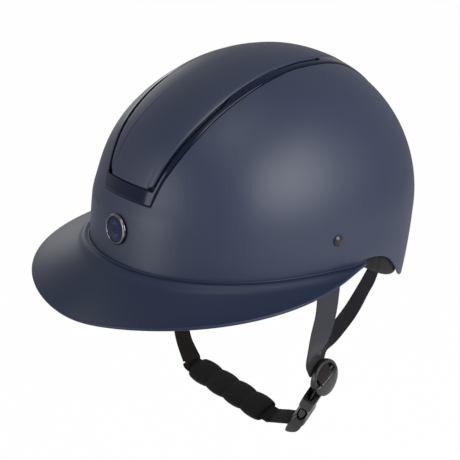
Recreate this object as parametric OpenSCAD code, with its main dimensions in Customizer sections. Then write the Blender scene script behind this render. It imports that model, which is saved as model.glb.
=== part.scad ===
// A riding helmet with a wide front brim, a raised centre panel in a gloss vent frame, foam liner,
// comfort pads and a Y harness with a side-release buckle and a sleeved chin strap.
// Units are millimetres. The origin is the middle of the head opening, the brow faces -Y,
// the wearer's left is +X and the crown is +Z.

/* [Shell] */
// Centre of the shell to the brow
shell_front = 134.5; // [128:0.5:142]
// Centre of the shell to the back of the head
shell_rear = 139; // [132:0.5:146]
// Centre of the shell to the widest point of one side
shell_half_width = 108.4; // [105:0.2:112]
// Widest line up to the crown
crown_rise = 120.3; // [114:0.3:128]
// Depth below the widest line at which the side walls would meet
skirt_drop = 205.5; // [180:0.5:230]
// Squareness of the plan outline
plan_power = 2.18; // [2:0.02:2.4]
// Squareness of the side walls below the widest line
side_power = 2.415; // [2.2:0.005:2.6]
// Squareness of the crown
crown_power = 1.956; // [1.9:0.002:2.1]
// How far the crown lies behind the middle of the plan
crown_shift = 8; // [0:0.5:12]
// Angle at which the brow is carried higher than the nape
shell_tilt = 7.5; // [5:0.5:10]
// Height of the widest line's centre above the head opening
shell_z = 60; // [56:0.5:64]
// Wall of the shell
shell_wall = 2.6; // [2.2:0.1:3]
// Depth of the recess that takes the vent frame and the centre panel
recess = 2.6; // [2.2:0.1:3]
// How far the forehead above the badge is flattened
front_flat = 3; // [0:0.5:4]

/* [Rim] */
// Brim seam below the widest line at the brow
brow_seam = 37.9; // [34:0.1:42]
// Brim seam below the widest line where the brim ends
temple_seam = 27.6; // [26:0.1:30]
// Height of the shell's rim below the brim seam at the brow
rim_lip = 8; // [6:0.5:10]
// Top of the notch behind the ear below the widest line
notch_drop = 25; // [23:0.5:27]
// Lower edge of the nape below the widest line
nape_drop = 58; // [54:0.5:62]
// Azimuth at which the notch begins
notch_from = 106; // [105:0.5:108]
// Azimuth at which the nape's straight edge begins
notch_to = 144; // [138:1:150]

/* [Brim] */
// Azimuth from the brow at which the brim dies into the shell
brim_sweep = 105; // [104:0.5:106]
// Width of the brim at the brow
brim_width = 48.3; // [40:0.5:60]
// Extra width half way round the side
brim_side_width = 3.6; // [0:0.2:6]
// Drop of the brim's edge below the seam at the brow
brim_fall = 28.6; // [22:0.2:34]
// Drop that the side of the brim gives back
brim_side_lift = 11.2; // [6:0.2:14]
// Thickness of the brim at its edge
brim_edge = 3; // [2.4:0.1:4]

/* [Vent frame and centre panel] */
// Elevation angle of the frame's front bar
front_bar_angle = 6.2; // [5:0.1:8]
// Elevation angle of the frame's rear bar
rear_bar_angle = 24; // [20:0.5:28]
// Width of the front and rear bars
bar_width = 11.5; // [9:0.1:13]
// Width of the frame and vent together beside the front vents
band_front = 7.7; // [7.4:0.1:8.2]
// Width of the frame between the vents
band_middle = 8; // [7.6:0.1:8.6]
// Width of the frame at the rear
band_rear = 7.5; // [7:0.1:8]
// Width of the front vents
front_vent = 3.4; // [3:0.1:3.8]
// Width of the rear vents
rear_vent = 3.2; // [2.8:0.1:3.6]
// How far the frame stands above the shell
frame_proud = 0.8; // [0.4:0.1:1.2]
// How far the centre panel stands above the shell
panel_proud = 1; // [0.6:0.1:1.4]
// Joint between frame, panel and recess
joint_gap = 0.35; // [0.3:0.05:0.5]
// Thickness of the mesh under the vents
mesh_thick = 0.9; // [0.6:0.1:1.2]

/* [Liner and pads] */
// Thickness of the foam liner from the shell's outer face inwards
liner_depth = 23.5; // [20:0.5:26]
// Depth of the liner's side pockets for straps and rivets
pocket_depth = 6; // [5.8:0.1:6.6]
// Clearance between shell and liner
liner_gap = 1; // [0.8:0.1:1.2]
// Height of the liner's edge above the shell's rim
liner_setback = 3; // [2:0.5:5]
// Height of the joint between the liner's ring and its cap above the head opening
liner_split = 98; // [94:1:104]
// Joint between the liner's ring and its cap
liner_joint = 0.4; // [0.3:0.05:0.6]
// Thickness of the brow pad
brow_thick = 6; // [4:0.5:8]
// Thickness of the crown pad
crown_thick = 6; // [4:0.5:8]
// Thickness of the nape pad behind the ear
ear_pad_thick = 5; // [4:0.5:6]
// Thickness of the nape pad at the back
nape_thick = 15; // [10:0.5:18]
// Clearance between liner and pads
pad_gap = 1.3; // [1.2:0.1:1.6]

/* [Badge] */
// Outer diameter of the badge
badge_d = 24; // [23.5:0.5:26]
// Diameter of the badge's face
badge_face_d = 20; // [17:0.5:20.5]
// Thickness of the badge's ring
badge_thick = 2.4; // [2.2:0.1:3.2]
// Elevation angle of the badge on the brow
badge_angle = -1.9; // [-3:0.1:-1]
// Diameter of the badge's post
badge_post_d = 3; // [2.5:0.1:4]
// Length of the badge's post behind the shell's face
badge_post_l = 5.4; // [5:0.2:6]
// Diameter of the clip on the badge's post
badge_clip_d = 9; // [8:0.5:10]
// Thickness of the clip on the badge's post
badge_clip_t = 1; // [0.8:0.1:1.4]

/* [Rivets] */
// Diameter of the side rivet's head
rivet_head_d = 9; // [8:0.2:11]
// Diameter of the side rivet's shank
rivet_shank_d = 5; // [4:0.1:5.4]
// Height of the side rivets above the head opening
rivet_z = 56.3; // [52:0.5:60]
// Place of the side rivets from front to back
rivet_y = -2.3; // [-6:0.1:0]
// Diameter of the washer behind the strap
washer_d = 12; // [10:0.5:14]

/* [Harness] */
// Width of the front straps at the rim
front_strap_w = 23; // [20:0.5:25]
// Width of the front straps at the adjuster
front_strap_low_w = 19; // [16:0.5:20]
// Width of the rear straps
rear_strap_w = 17; // [14:0.5:19]
// Thickness of the V straps
strap_t = 1.4; // [1.2:0.1:1.6]
// Width of the webbing
webbing_w = 16; // [14:0.5:16.5]
// Thickness of the webbing
webbing_t = 1.4; // [1.2:0.1:1.5]
// Diameter of the adjusters
adjuster_d = 30; // [28:0.5:32]
// Thickness of the adjusters
adjuster_t = 4.4; // [4:0.1:5]
// Width of the chin pad at its lobes
chin_pad_w = 23.5; // [22.5:0.5:28]
// Thickness of the chin pad at its lobes
chin_pad_t = 9.5; // [8:0.5:11]
// Length of the chin pad
chin_pad_l = 97; // [84:1:98]
// Width that the chin pad loses at the waists between its lobes
chin_pad_waist = 3; // [1:0.2:3.4]
// Lobes along the chin pad
chin_pad_lobes = 4; // [3:1:5]

/* [Buckle] */
// Width of the buckle
buckle_w = 25; // [24.6:0.1:27]
// Thickness of the buckle
buckle_t = 10; // [9.8:0.1:11]
// Length of the socket
socket_l = 24; // [23.5:0.5:26]
// Length of the tongue's base outside the socket
tongue_l = 15; // [14.5:0.5:18]
// Length of the prongs inside the socket
prong_l = 14; // [12:0.5:14.5]
// Thickness of the prongs
prong_t = 3.6; // [3.2:0.1:3.8]
// Width of one prong
prong_w = 3; // [2.6:0.1:3.2]
// Clearance all round the prongs in the socket
prong_gap = 1.2; // [1.1:0.05:1.3]
// Free fall of the swinging straps below their opening line
swing_gap = 1; // [0.9:0.05:1.05]
// Gap between the socket's mouth and the tongue's base
mouth_gap = 0.4; // [0.3:0.05:0.6]
// Length of the posts that frame the socket's mouth
mouth_post = 3.2; // [2.6:0.2:4]

/* [Hidden] */
$fn = 48;
PAD_SEAT = 0.35;
SKIN = 0.05;
SEAM_GAP = 0.25;
panel_bed = 0.6;

shell_y = 5.8;
shell_colour = [0.17, 0.19, 0.28];
gloss_colour = [0.07, 0.08, 0.16];
black = [0.06, 0.06, 0.07];
foam_colour = [0.12, 0.12, 0.13];
pad_colour = [0.14, 0.16, 0.15];

// Azimuths from the brow at which every shell-shaped piece is sampled, so their facets stay parallel.
half_phi = [0, 5, 8.5, 9.6, 10.2, 11, 12, 13.5, 15.5, 17.5, 19.4, 21.5, 24, 27.5, 29.5, 34,
    40, 46.5, 49, 56, 64, 73, 82, 92, 103, 110, 116, 122, 126, 129, 136,
    143, 150, 157, 163, 167, 170, 172, 174, 176.5, 180];
stations = concat(half_phi, [for (i = [len(half_phi) - 2:-1:1]) 360 - half_phi[i]]);

// Half width of the vent frame's outer edge, and of the centre panel's edge, at azimuths from the brow.
frame_line = [[10, 26.6], [12, 28.6], [13, 30], [14.4, 32.5], [17.8, 37.6], [20.8, 40.7],
    [24, 42.3], [33, 43.2], [48, 41.6], [65, 39], [90, 37], [116, 34.5], [145, 29.5], [160, 25], [170, 21]];
panel_line = [[10, 22.9], [12.2, 27.5], [14.1, 30.3], [16, 32.5], [18.6, 34.5], [21.2, 35.8], [25, 36.2],
    [29, 36], [34.7, 35.4], [51.4, 33.3], [90, 29.6], [122, 27], [145, 22.4], [160, 17.8], [170, 13.6]];
corner_power = 8;
bar_pitch = 2.05;
front_vent_span = [9.6, 27.5];
rear_vent_span = [49, 126];

function fold(phi) = phi > 180 ? 360 - phi : abs(phi);
function smooth(x) = let (c = min(1, max(0, x))) c * c * (3 - 2 * c);
function flat(lists) = [for (l = lists) each l];
function unit(v) = v / norm(v);
function flip_x(p) = [-p[0], p[1], p[2]];

// Value at x of a smooth curve through the points of a list.
function span(x, pts, i = 0) = i >= len(pts) - 2 || x < pts[i + 1][0] ? i : span(x, pts, i + 1);
function slope(pts, i) =
    let (a = max(0, i - 1), b = min(len(pts) - 1, i + 1))
    (pts[b][1] - pts[a][1]) / (pts[b][0] - pts[a][0]);
function curve_at(x, pts) =
    let (i = span(x, pts), h = pts[i + 1][0] - pts[i][0], u = (x - pts[i][0]) / h)
    pts[i][1] * (1 + 2 * u) * (1 - u) * (1 - u) + pts[i + 1][1] * u * u * (3 - 2 * u)
    + h * slope(pts, i) * u * (1 - u) * (1 - u) - h * slope(pts, i + 1) * u * u * (1 - u);

// Radius of the plan outline at an azimuth, moved inwards by d.
function plan_r(phi, d) =
    let (s = abs(sin(phi)) / (shell_half_width - d),
        c = abs(cos(phi)) / ((cos(phi) > 0 ? shell_front : shell_rear) - d))
    pow(pow(s, plan_power) + pow(c, plan_power), -1 / plan_power);

// From the shell's own upright frame to the part's frame.
function seat_on_head(p) = [p[0], shell_y + p[1] * cos(shell_tilt) + p[2] * sin(shell_tilt),
    shell_z - p[1] * sin(shell_tilt) + p[2] * cos(shell_tilt)];

// How far the forehead is flattened: most above the badge, fading out all round and inwards.
function forehead(phi, t, d) =
    front_flat * smooth((t + 2) / 11) * (1 - smooth((t - 9) / 25)) * smooth((50 - fold(phi)) / 35)
    * min(1, max(0, 1 - d / liner_depth));

// Point at azimuth phi and elevation angle t, moved inwards by d.
function on_shell(phi, t, d) =
    let (p = t > 0 ? crown_power : side_power,
        r = plan_r(phi, d) * pow(cos(t), 2 / p) - forehead(phi, t, d),
        rise = t > 0 ? (crown_rise - d) * pow(sin(t), 2 / p) : -skirt_drop * pow(sin(-t), 2 / p),
        back = t > 0 ? crown_shift * pow(sin(t), 2) : 0)
    seat_on_head([r * sin(phi), back - r * cos(phi), rise]);

// Elevation angle of the wall at a depth below the widest line.
function angle_at(drop) = -asin(pow(drop / skirt_drop, side_power / 2));

function seam_drop(phi) = brow_seam + (temple_seam - brow_seam) * smooth(fold(phi) / brim_sweep);
function rim_drop(phi) =
    let (f = fold(phi), q = pow(min(1, f / brim_sweep), 6))
    f <= brim_sweep ? seam_drop(phi) + rim_lip * (1 - q) - (temple_seam - notch_drop) * q
        : notch_drop + (nape_drop - notch_drop)
            * smooth(pow(max(0, (f - notch_from) / (notch_to - notch_from)), 1.4));
function liner_drop(phi) = fold(phi) <= brim_sweep ? rim_drop(phi) - liner_setback
    : notch_drop - liner_setback;

// Elevation angle of a line that lies side_in inside the frame's outer edge, or bar_in at its bars.
function edge_t(phi, side_in, bar_in) =
    let (f = fold(phi),
        g = min(170, max(10, f)),
        outer = curve_at(g, frame_line),
        w = outer - (outer - curve_at(g, panel_line)) * side_in / band(phi),
        ratio = w / (plan_r(phi, 0) * max(0.01, sin(f))),
        side = ratio >= 1 ? 0 : acos(pow(ratio, crown_power / 2)),
        bar = (f < 90 ? front_bar_angle : rear_bar_angle) + bar_in / bar_pitch)
    pow(pow(side, corner_power) + pow(bar, corner_power), 1 / corner_power);

function band(phi) =
    let (f = fold(phi))
    band_front + (band_middle - band_front) * smooth((f - 27) / 6)
    + (band_rear - band_middle) * smooth((f - 60) / 60);
function in_span(f, s) = f >= s[0] && f <= s[1];
function vent(phi) = in_span(fold(phi), front_vent_span) ? front_vent
    : in_span(fold(phi), rear_vent_span) ? rear_vent : 0;
function is_vent(j) =
    let (a = fold(stations[j]), b = fold(stations[(j + 1) % len(stations)]))
    vent(a) > 0 && vent(b) > 0 && abs(a - b) < 20;

function vent_out_t(phi) = edge_t(phi, band(phi) - joint_gap - vent(phi), bar_width);
function vent_in_t(phi) = edge_t(phi, band(phi) + joint_gap, bar_width + 2 * joint_gap);

wall_steps = [0, 0.15, 0.35, 0.55, 0.75, 0.9, 1];
cap_steps = [0.82, 0.62, 0.43, 0.26, 0.11];
// Elevation angle at a share of the way up the wall from the rim to a line beside the frame.
function wall_t(phi, out, k) =
    let (low = angle_at(rim_drop(phi))) low + (edge_t(phi, -out, -out) - low) * k;
function cap_t(phi, k) = vent_in_t(phi) + (90 - vent_in_t(phi)) * k;

function ring(t_list, d_list) = [for (j = [0:len(stations) - 1])
    on_shell(stations[j], t_list[j], d_list[j])];
function even(d) = [for (phi = stations) d];

// Strip of triangles between closed rings a and b of n points, whose first points are given.
// A rising strip has its diagonals the other way, so that facets over each other stay parallel.
function strip(a, b, n, skip = [], rising = false) = [for (j = [0:n - 1]) if (len(skip) == 0 || !skip[j])
    let (k = (j + 1) % n) each rising ? [[a + j, b + j, a + k], [b + j, b + k, a + k]]
        : [[a + j, b + j, b + k], [a + j, b + k, a + k]]];
function fan(centre, a, n, turn) = [for (j = [0:n - 1]) let (k = (j + 1) % n)
    turn ? [centre, a + k, a + j] : [centre, a + j, a + k]];

function turned(faces) = [for (f = faces) [f[0], f[2], f[1]]];

// Closed solid from rings of n points that begin and end at a pole; the first ones go down.
module bowl(rings, top, bottom, down) {
    n = len(rings[0]);
    m = len(rings);
    polyhedron(
        points = concat([top], flat(rings), [bottom]),
        faces = turned(concat(fan(0, 1, n, false),
            flat([for (i = [0:m - 2]) strip(1 + i * n, 1 + i * n + n, n, [], i >= down)]),
            fan(1 + m * n, 1 + (m - 1) * n, n, true))));
}

// Closed solid from a loop of closed rings, such as a frame.
module frame_of(rings) {
    n = len(rings[0]);
    m = len(rings);
    polyhedron(points = flat(rings),
        faces = flat([for (i = [0:m - 1]) strip(i * n, ((i + 1) % m) * n, n)]));
}

// Closed solid from a row of closed sections with flat ends.
module sweep(sections) {
    n = len(sections[0]);
    m = len(sections);
    mid = function(s) [for (axis = [0:2]) [for (p = s) p[axis]] * [for (p = s) 1 / n]];
    polyhedron(
        points = concat(flat(sections), [mid(sections[0]), mid(sections[m - 1])]),
        faces = concat(flat([for (i = [0:m - 2]) strip(i * n, i * n + n, n)]),
            fan(m * n, 0, n, false), fan(m * n + 1, (m - 1) * n, n, true)));
}

// Smooth run of points through chosen points.
function run_of(pts, steps) = concat(flat([for (i = [0:len(pts) - 2])
    let (p0 = pts[max(0, i - 1)], p1 = pts[i], p2 = pts[i + 1], p3 = pts[min(len(pts) - 1, i + 2)])
    [for (k = [0:steps - 1]) let (u = k / steps)
        0.5 * (2 * p1 + (p2 - p0) * u + (2 * p0 - 5 * p1 + 4 * p2 - p3) * u * u
            + (3 * p1 - p0 - 3 * p2 + p3) * u * u * u)]]), [pts[len(pts) - 1]]);

function heading(path, i) = unit(path[min(len(path) - 1, i + 1)] - path[max(0, i - 1)]);

// Flat strap along points, each with the direction of the strap's width and its width there.
module strap(points, across, widths, thick, steps) {
    path = run_of(points, steps);
    lean = run_of(across, steps);
    wide = run_of(widths, steps);
    sweep([for (i = [0:len(path) - 1])
        let (along = heading(path, i), side = unit(lean[i] - along * (lean[i] * along)),
            face = cross(along, side), w = wide[i] / 2, t = thick / 2)
        [path[i] + side * w + face * t, path[i] - side * w + face * t,
            path[i] - side * w - face * t, path[i] + side * w - face * t]]);
}

function same(v, n) = [for (i = [1:n]) v];
function taper(a, b, n) = [for (i = [0:n - 1]) a + (b - a) * i / (n - 1)];

// Turns children from a local frame of three directions to a place.
module place(at, x_dir, y_dir, z_dir) {
    multmatrix([[x_dir[0], y_dir[0], z_dir[0], at[0]], [x_dir[1], y_dir[1], z_dir[1], at[1]],
        [x_dir[2], y_dir[2], z_dir[2], at[2]], [0, 0, 0, 1]]) children();
}

module mirrored() {
    children();
    mirror([1, 0, 0]) children();
}

// Shell rows from the crown down: elevation angles, how far they lie under the outer face, and the
// angles on the inner face, whose step lies outside the recess by the shell's wall.
wall_row = function(out, k) [for (phi = stations) wall_t(phi, out, k)];
flat_row = function(t) [t, recess, t];
shell_rows = concat(
    [for (k = cap_steps) flat_row([for (phi = stations) cap_t(phi, k)])],
    [flat_row([for (phi = stations) vent_in_t(phi)]), flat_row([for (phi = stations) vent_out_t(phi)])],
    [for (depth = [recess, 0]) [wall_row(0, 1), depth, wall_row(shell_wall, 1)]],
    [for (i = [len(wall_steps) - 2:-1:0])
        [wall_row(0, wall_steps[i]), 0, wall_row(shell_wall, wall_steps[i])]]);
VENT_ROW = len(cap_steps);

module shell_solid() {
    n = len(stations);
    m = len(shell_rows);
    outer = [for (r = shell_rows) ring(r[0], even(r[1]))];
    inner = [for (i = [m - 1:-1:0]) ring(shell_rows[i][2], even(shell_rows[i][1] + shell_wall))];
    b_out = 1 + VENT_ROW * n;
    a_out = b_out + n;
    a_in = 1 + (2 * m - 2 - VENT_ROW) * n;
    b_in = a_in + n;
    open = [for (j = [0:n - 1]) is_vent(j)];
    walls = [for (j = [0:n - 1]) if (open[j])
        let (k = (j + 1) % n, before = open[(j + n - 1) % n], after = open[k])
        each concat(
            [[a_out + j, a_out + k, a_in + k], [a_out + j, a_in + k, a_in + j],
                [b_out + k, b_out + j, b_in + j], [b_out + k, b_in + j, b_in + k]],
            before ? [] : [[b_out + j, a_out + j, a_in + j], [b_out + j, a_in + j, b_in + j]],
            after ? [] : [[a_out + k, b_out + k, b_in + k], [a_out + k, b_in + k, a_in + k]])];
    polyhedron(
        points = concat([on_shell(0, 90, recess)], flat(outer), flat(inner),
            [on_shell(0, 90, recess + shell_wall)]),
        faces = turned(concat(fan(0, 1, n, false),
            flat([for (i = [0:2 * m - 2]) strip(1 + i * n, 1 + i * n + n, n,
                i == VENT_ROW || i == 2 * m - 2 - VENT_ROW ? open : [], i >= m)]),
            fan(1 + 2 * m * n, 1 + (2 * m - 1) * n, n, true), walls)));
}

module outer_shell() {
    color(shell_colour) difference() {
        shell_solid();
        mirrored() translate([shell_half_width, rivet_y, rivet_z]) rotate([0, 90, 0])
            cylinder(d = rivet_shank_d + 0.4, h = 12, center = true);
        badge_axis() cylinder(d = badge_post_d + 0.4, h = 12, center = true);
    }
}

function brim_point(phi, s) =
    let (q = min(1, fold(phi) / brim_sweep),
        width = brim_width * pow(1 - pow(q, 1.705), 1.264) + brim_side_width * 4 * q * (1 - q),
        fall = brim_fall * pow(1 - pow(q, 3), 1.264) - brim_side_lift * 4 * q * (1 - q),
        curl = 0.45 * (1 - pow(1 - s, 1.5)) + 0.55 * s)
    on_shell(phi, angle_at(seam_drop(phi)), -SEAM_GAP)
    + [sin(phi), -cos(phi), 0] * width * s - [0, 0, 1] * fall * curl;

// Section of the brim: over the top to the edge, round it, and back under to the shell.
function brim_section(phi) =
    let (low = on_shell(phi, angle_at(rim_drop(phi) - 1), -SEAM_GAP),
        root = brim_point(phi, 0)[2] - low[2],
        out = [sin(phi), -cos(phi), 0])
    concat(
        [for (s = [0, 0.12, 0.3, 0.5, 0.7, 0.88, 0.97]) brim_point(phi, s)],
        [brim_point(phi, 1) + [0, 0, -brim_edge * 0.3], brim_point(phi, 1) + [0, 0, -brim_edge * 0.75]],
        [for (s = [0.96, 0.7, 0.4, 0.15]) brim_point(phi, s)
            - [0, 0, 1] * (brim_edge + (root - brim_edge) * pow(1 - s, 2.5))],
        [low]);

module brim() {
    side = [for (f = half_phi) if (f < brim_sweep - 1) f];
    line = concat([for (i = [len(side) - 1:-1:1]) -side[i]], side);
    color(shell_colour) sweep([for (phi = line) brim_section(phi)]);
}

module vent_trim() {
    side = joint_gap;
    bed = recess - 0.25;
    color(gloss_colour) frame_of([
        ring([for (phi = stations) edge_t(phi, side, side)], even(bed)),
        ring([for (phi = stations) edge_t(phi, side, side)], even(0)),
        ring([for (phi = stations) edge_t(phi, side + 1.2, side + 1.2)], even(-frame_proud)),
        ring([for (phi = stations) edge_t(phi, band(phi) - joint_gap - vent(phi) - 0.6, bar_width - 0.6)],
            even(-frame_proud)),
        ring([for (phi = stations) vent_out_t(phi)], even(-frame_proud + 0.5)),
        ring([for (phi = stations) vent_out_t(phi)], even(bed))]);
}

module centre_panel() {
    edge = function(side_in) [for (phi = stations)
        edge_t(phi, band(phi) + side_in, bar_width + joint_gap + side_in)];
    color(shell_colour) bowl([
        for (k = cap_steps) ring([for (phi = stations) cap_t(phi, k)], even(-panel_proud)),
        ring(edge(3), even(-panel_proud)),
        ring(edge(1), even(-panel_proud + 0.5)),
        ring(edge(0), even(-panel_proud + 1.6)),
        ring(edge(0), even(recess - panel_bed)),
        ring([for (phi = stations) vent_in_t(phi)], even(recess - panel_bed)),
        for (i = [len(cap_steps) - 1:-1:0])
            ring([for (phi = stations) cap_t(phi, cap_steps[i])], even(recess - panel_bed))],
        on_shell(0, 90, -panel_proud), on_shell(0, 90, recess - panel_bed), len(cap_steps) + 3);
}

// Mesh strip set in one of the shell's vents: side is 1 for the wearer's left.
module vent_mesh(range, side) {
    inset = joint_gap + 0.2;
    line = [for (f = half_phi) if (in_span(f, range)) f];
    ends = [for (i = [0:len(line) - 1]) line[i] + (i == 0 ? 0.5 : i == len(line) - 1 ? -0.5 : 0)];
    out_t = function(phi) edge_t(phi, band(phi) - joint_gap - vent(phi) + inset, bar_width + inset);
    in_t = function(phi) edge_t(phi, band(phi) + joint_gap - inset, bar_width + 2 * joint_gap + inset);
    sweep([for (i = [0:len(ends) - 1]) let (phi = side * ends[side > 0 ? i : len(ends) - 1 - i],
            lo = out_t(phi), hi = max(lo + 0.4, in_t(phi)))
        [on_shell(phi, hi, recess + 0.9), on_shell(phi, lo, recess + 0.9),
            on_shell(phi, lo, recess + 0.9 + mesh_thick), on_shell(phi, hi, recess + 0.9 + mesh_thick)]]);
}

module vent_grilles() {
    color(black) for (side = [1, -1]) for (range = [front_vent_span, rear_vent_span])
        vent_mesh(range, side);
}

// How much deeper the liner's outer face lies over the straps and rivets.
function pocket(phi, t) =
    let (f = fold(phi)) pocket_depth * smooth((f - 66) / 6) * smooth((112 - f) / 8)
        * smooth((14 - t) / 8);

// The whole foam liner, which is moulded as a ring and a cap.
module liner_body() {
    clear = shell_wall + liner_gap;
    roof = recess + clear + 0.4;
    step = shell_wall + 0.8;
    above = function(phi, t) max(t, angle_at(liner_drop(phi)) + 1);
    rows = concat(
        [for (k = concat(cap_steps, [0])) [[for (phi = stations) cap_t(phi, k)], roof]],
        [for (depth = [roof, clear]) [wall_row(step, 1), depth]],
        [for (i = [len(wall_steps) - 2:-1:1])
            [[for (phi = stations) above(phi, wall_t(phi, step, wall_steps[i]))], clear]],
        [[[for (phi = stations) angle_at(liner_drop(phi))], clear]]);
    outer = [for (r = rows) [for (j = [0:len(stations) - 1])
        on_shell(stations[j], r[0][j], r[1] + pocket(stations[j], r[0][j]))]];
    inside = [0, 0.15, 0.3, 0.45, 0.6, 0.72, 0.82, 0.91];
    inner = [for (k = inside) [for (phi = stations)
        let (low = angle_at(liner_drop(phi))) on_shell(phi, low + (90 - low) * k, liner_depth)]];
    bowl(concat(outer, inner), on_shell(0, 90, roof), on_shell(0, 90, liner_depth), len(outer));
}

// Block that takes away the liner from a height up, or down with turn -1.
module level_cut(height, turn) {
    side = 2 * (shell_front + shell_rear);
    translate([-side / 2, -side / 2, turn > 0 ? height : height - side]) cube(side);
}

module impact_liner() {
    color(foam_colour) difference() {
        liner_body();
        level_cut(liner_split, 1);
        badge_axis() translate([0, 0, -badge_post_l - 0.8])
            cylinder(d = badge_clip_d + 3, h = badge_post_l);
    }
}

module crown_liner() {
    color(foam_colour) difference() {
        liner_body();
        level_cut(liner_split + liner_joint, -1);
    }
}

module crown_pad() {
    around = [for (i = [0:31]) i * 360 / 32];
    top = liner_depth + pad_gap;
    shape = function(t, d) [for (phi = around) on_shell(phi, t, d)];
    color(pad_colour) bowl([shape(78, top), shape(66, top), shape(62, top + crown_thick * 0.3),
        shape(62, top + crown_thick * 0.7), shape(66, top + crown_thick), shape(78, top + crown_thick)],
        on_shell(0, 90, top), on_shell(0, 90, top + crown_thick), 3);
}

// Rounded section of a band pad between two depths and two elevation angles.
function band_section(phi, low, high, near, thick) = [for (a = [22.5:45:359])
    on_shell(phi, (low + high) / 2 + (high - low) / 2 * spread(sin(a)),
        near + thick / 2 - thick / 2 * spread(cos(a)))];
function spread(v) = sign(v) * pow(abs(v) / 0.924, 0.7);

module brow_pad() {
    near = liner_depth + pad_gap;
    line = [for (f = [96:-12:-96]) f];
    color(pad_colour) sweep([for (phi = line) let (low = angle_at(rim_drop(phi) - liner_setback - 2))
        band_section(phi, low, low + 26, near, brow_thick * (1 - 0.5 * pow(abs(phi) / 96, 6)))]);
}

function nape_low(phi) = 30 + 25 * smooth(pow(max(0, (fold(phi) - 101) / 45), 0.7));

module nape_pad() {
    half = concat([102], [for (f = half_phi) if (f >= brim_sweep) f]);
    all = concat([for (i = [0:len(half) - 1]) 360 - half[i]],
        [for (i = [len(half) - 2:-1:0]) half[i]]);
    color(pad_colour) sweep([for (phi = all)
        band_section(phi, angle_at(nape_low(phi)), angle_at(notch_drop - liner_setback + 0.8),
            shell_wall + 1,
            ear_pad_thick + (nape_thick - ear_pad_thick) * smooth((fold(phi) - 136) / 20))]);
}

// The badge's own frame: its back at the brow, its face forwards.
badge_seat = on_shell(0, badge_angle, 0);
brow_upright = 0.7;
badge_lean = shell_tilt - brow_upright;
badge_stand = 0.3;
badge_bevel = 1.2;
face_sunk = 0.4;
face_thick = 1;

module badge_axis() {
    translate(badge_seat) rotate([90 - badge_lean, 0, 0]) children();
}

module badge_ring() {
    color([0.62, 0.63, 0.65]) badge_axis() {
        translate([0, 0, badge_stand]) difference() {
            rotate_extrude() polygon([[0, 0], [badge_d / 2, 0], [badge_d / 2, badge_thick - badge_bevel],
                [badge_d / 2 - badge_bevel, badge_thick], [0, badge_thick]]);
            translate([0, 0, badge_thick - face_thick - face_sunk])
                cylinder(d = badge_face_d, h = badge_thick);
        }
        translate([0, 0, -badge_post_l]) cylinder(d = badge_post_d, h = badge_post_l + badge_stand + 0.5);
    }
}

module badge_face() {
    color([0.1, 0.13, 0.3]) badge_axis()
        translate([0, 0, badge_stand + badge_thick - face_thick - face_sunk + SKIN])
            cylinder(d = badge_face_d - 0.3, h = face_thick);
}

module badge_clip() {
    color(black) badge_axis() translate([0, 0, -shell_wall - PAD_SEAT - badge_clip_t]) difference() {
        cylinder(d = badge_clip_d, h = badge_clip_t);
        translate([0, 0, -1]) cylinder(d = badge_post_d + 0.1, h = badge_clip_t + 2);
    }
}

// How far the straps lie inside the widest point of the shell
strap_inset = 5;
strap_x = shell_half_width - strap_inset;
washer_t = 1;
washer_x = strap_x - strap_t / 2 - washer_t - 0.3;
dome_r = 6.4;
dome_rise = 2.2;
foot_d = 8;
foot_t = 1.1;
foot_gap = 0.3;

// Domed head outside the shell, shank through shell and strap, and the spread foot behind the washer.
module side_rivets() {
    $fn = 32;
    foot_at = washer_x - foot_gap - foot_t - shell_half_width;
    color(black) mirrored() translate([shell_half_width, rivet_y, rivet_z]) rotate([0, 90, 0]) {
        translate([0, 0, 0.15]) rotate_extrude() intersection() {
            translate([0, dome_rise - dome_r]) circle(r = dome_r);
            square([rivet_head_d / 2, dome_r]);
        }
        translate([0, 0, foot_at + 1]) cylinder(d = rivet_shank_d, h = 0.4 - foot_at - 1);
        translate([0, 0, foot_at]) cylinder(d = foot_d, h = foot_t);
    }
}

module rivet_washers() {
    $fn = 32;
    color([0.5, 0.5, 0.5]) mirrored() translate([washer_x, rivet_y, rivet_z]) rotate([0, 90, 0])
        difference() {
            cylinder(d = washer_d, h = washer_t);
            translate([0, 0, -washer_t]) cylinder(d = rivet_shank_d + 0.3, h = 3 * washer_t);
        }
}

// Place on the wearer's left side, so far inside the straps' place at the rivets.
function beside(inside, y, z) = [strap_x - inside, y, z];

// The adjusters' frame: their face outwards, their long slots level.
adjuster_at = beside(9.4, -1, -65);
adjuster_out = unit([0.98, 0.18, 0.07]);
adjuster_side = unit(cross([0, 0, 1], adjuster_out));
adjuster_up = cross(adjuster_out, adjuster_side);

// Places of the V straps under the rim on the wearer's left. The chin strap opens on a line
// through both of these places on the other side.
front_bend = beside(7, -0.6, 5);
rear_bend = beside(13.7, 50, 5);
bend_z = front_bend[2];
bend_line = unit(rear_bend - front_bend);

front_path = [beside(0, rivet_y, rivet_z + 9), beside(0, rivet_y, rivet_z - 7), beside(1.2, -2, 39),
    beside(3.8, -0.8, 28), beside(6.4, 0, 19), front_bend, beside(7.4, -2.4, -10),
    beside(8, -7, -26), beside(9.2, -13, -42), beside(12, -9.6, -50.5), beside(13, -6.4, -57)];
level = [0, 1, 0];
low_across = adjuster_side * 0.9 + adjuster_up * 0.44;
front_across = [level, level, level, bend_line, bend_line, bend_line, level, level + [0, 0, 0.2],
    low_across, low_across, low_across];

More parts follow.
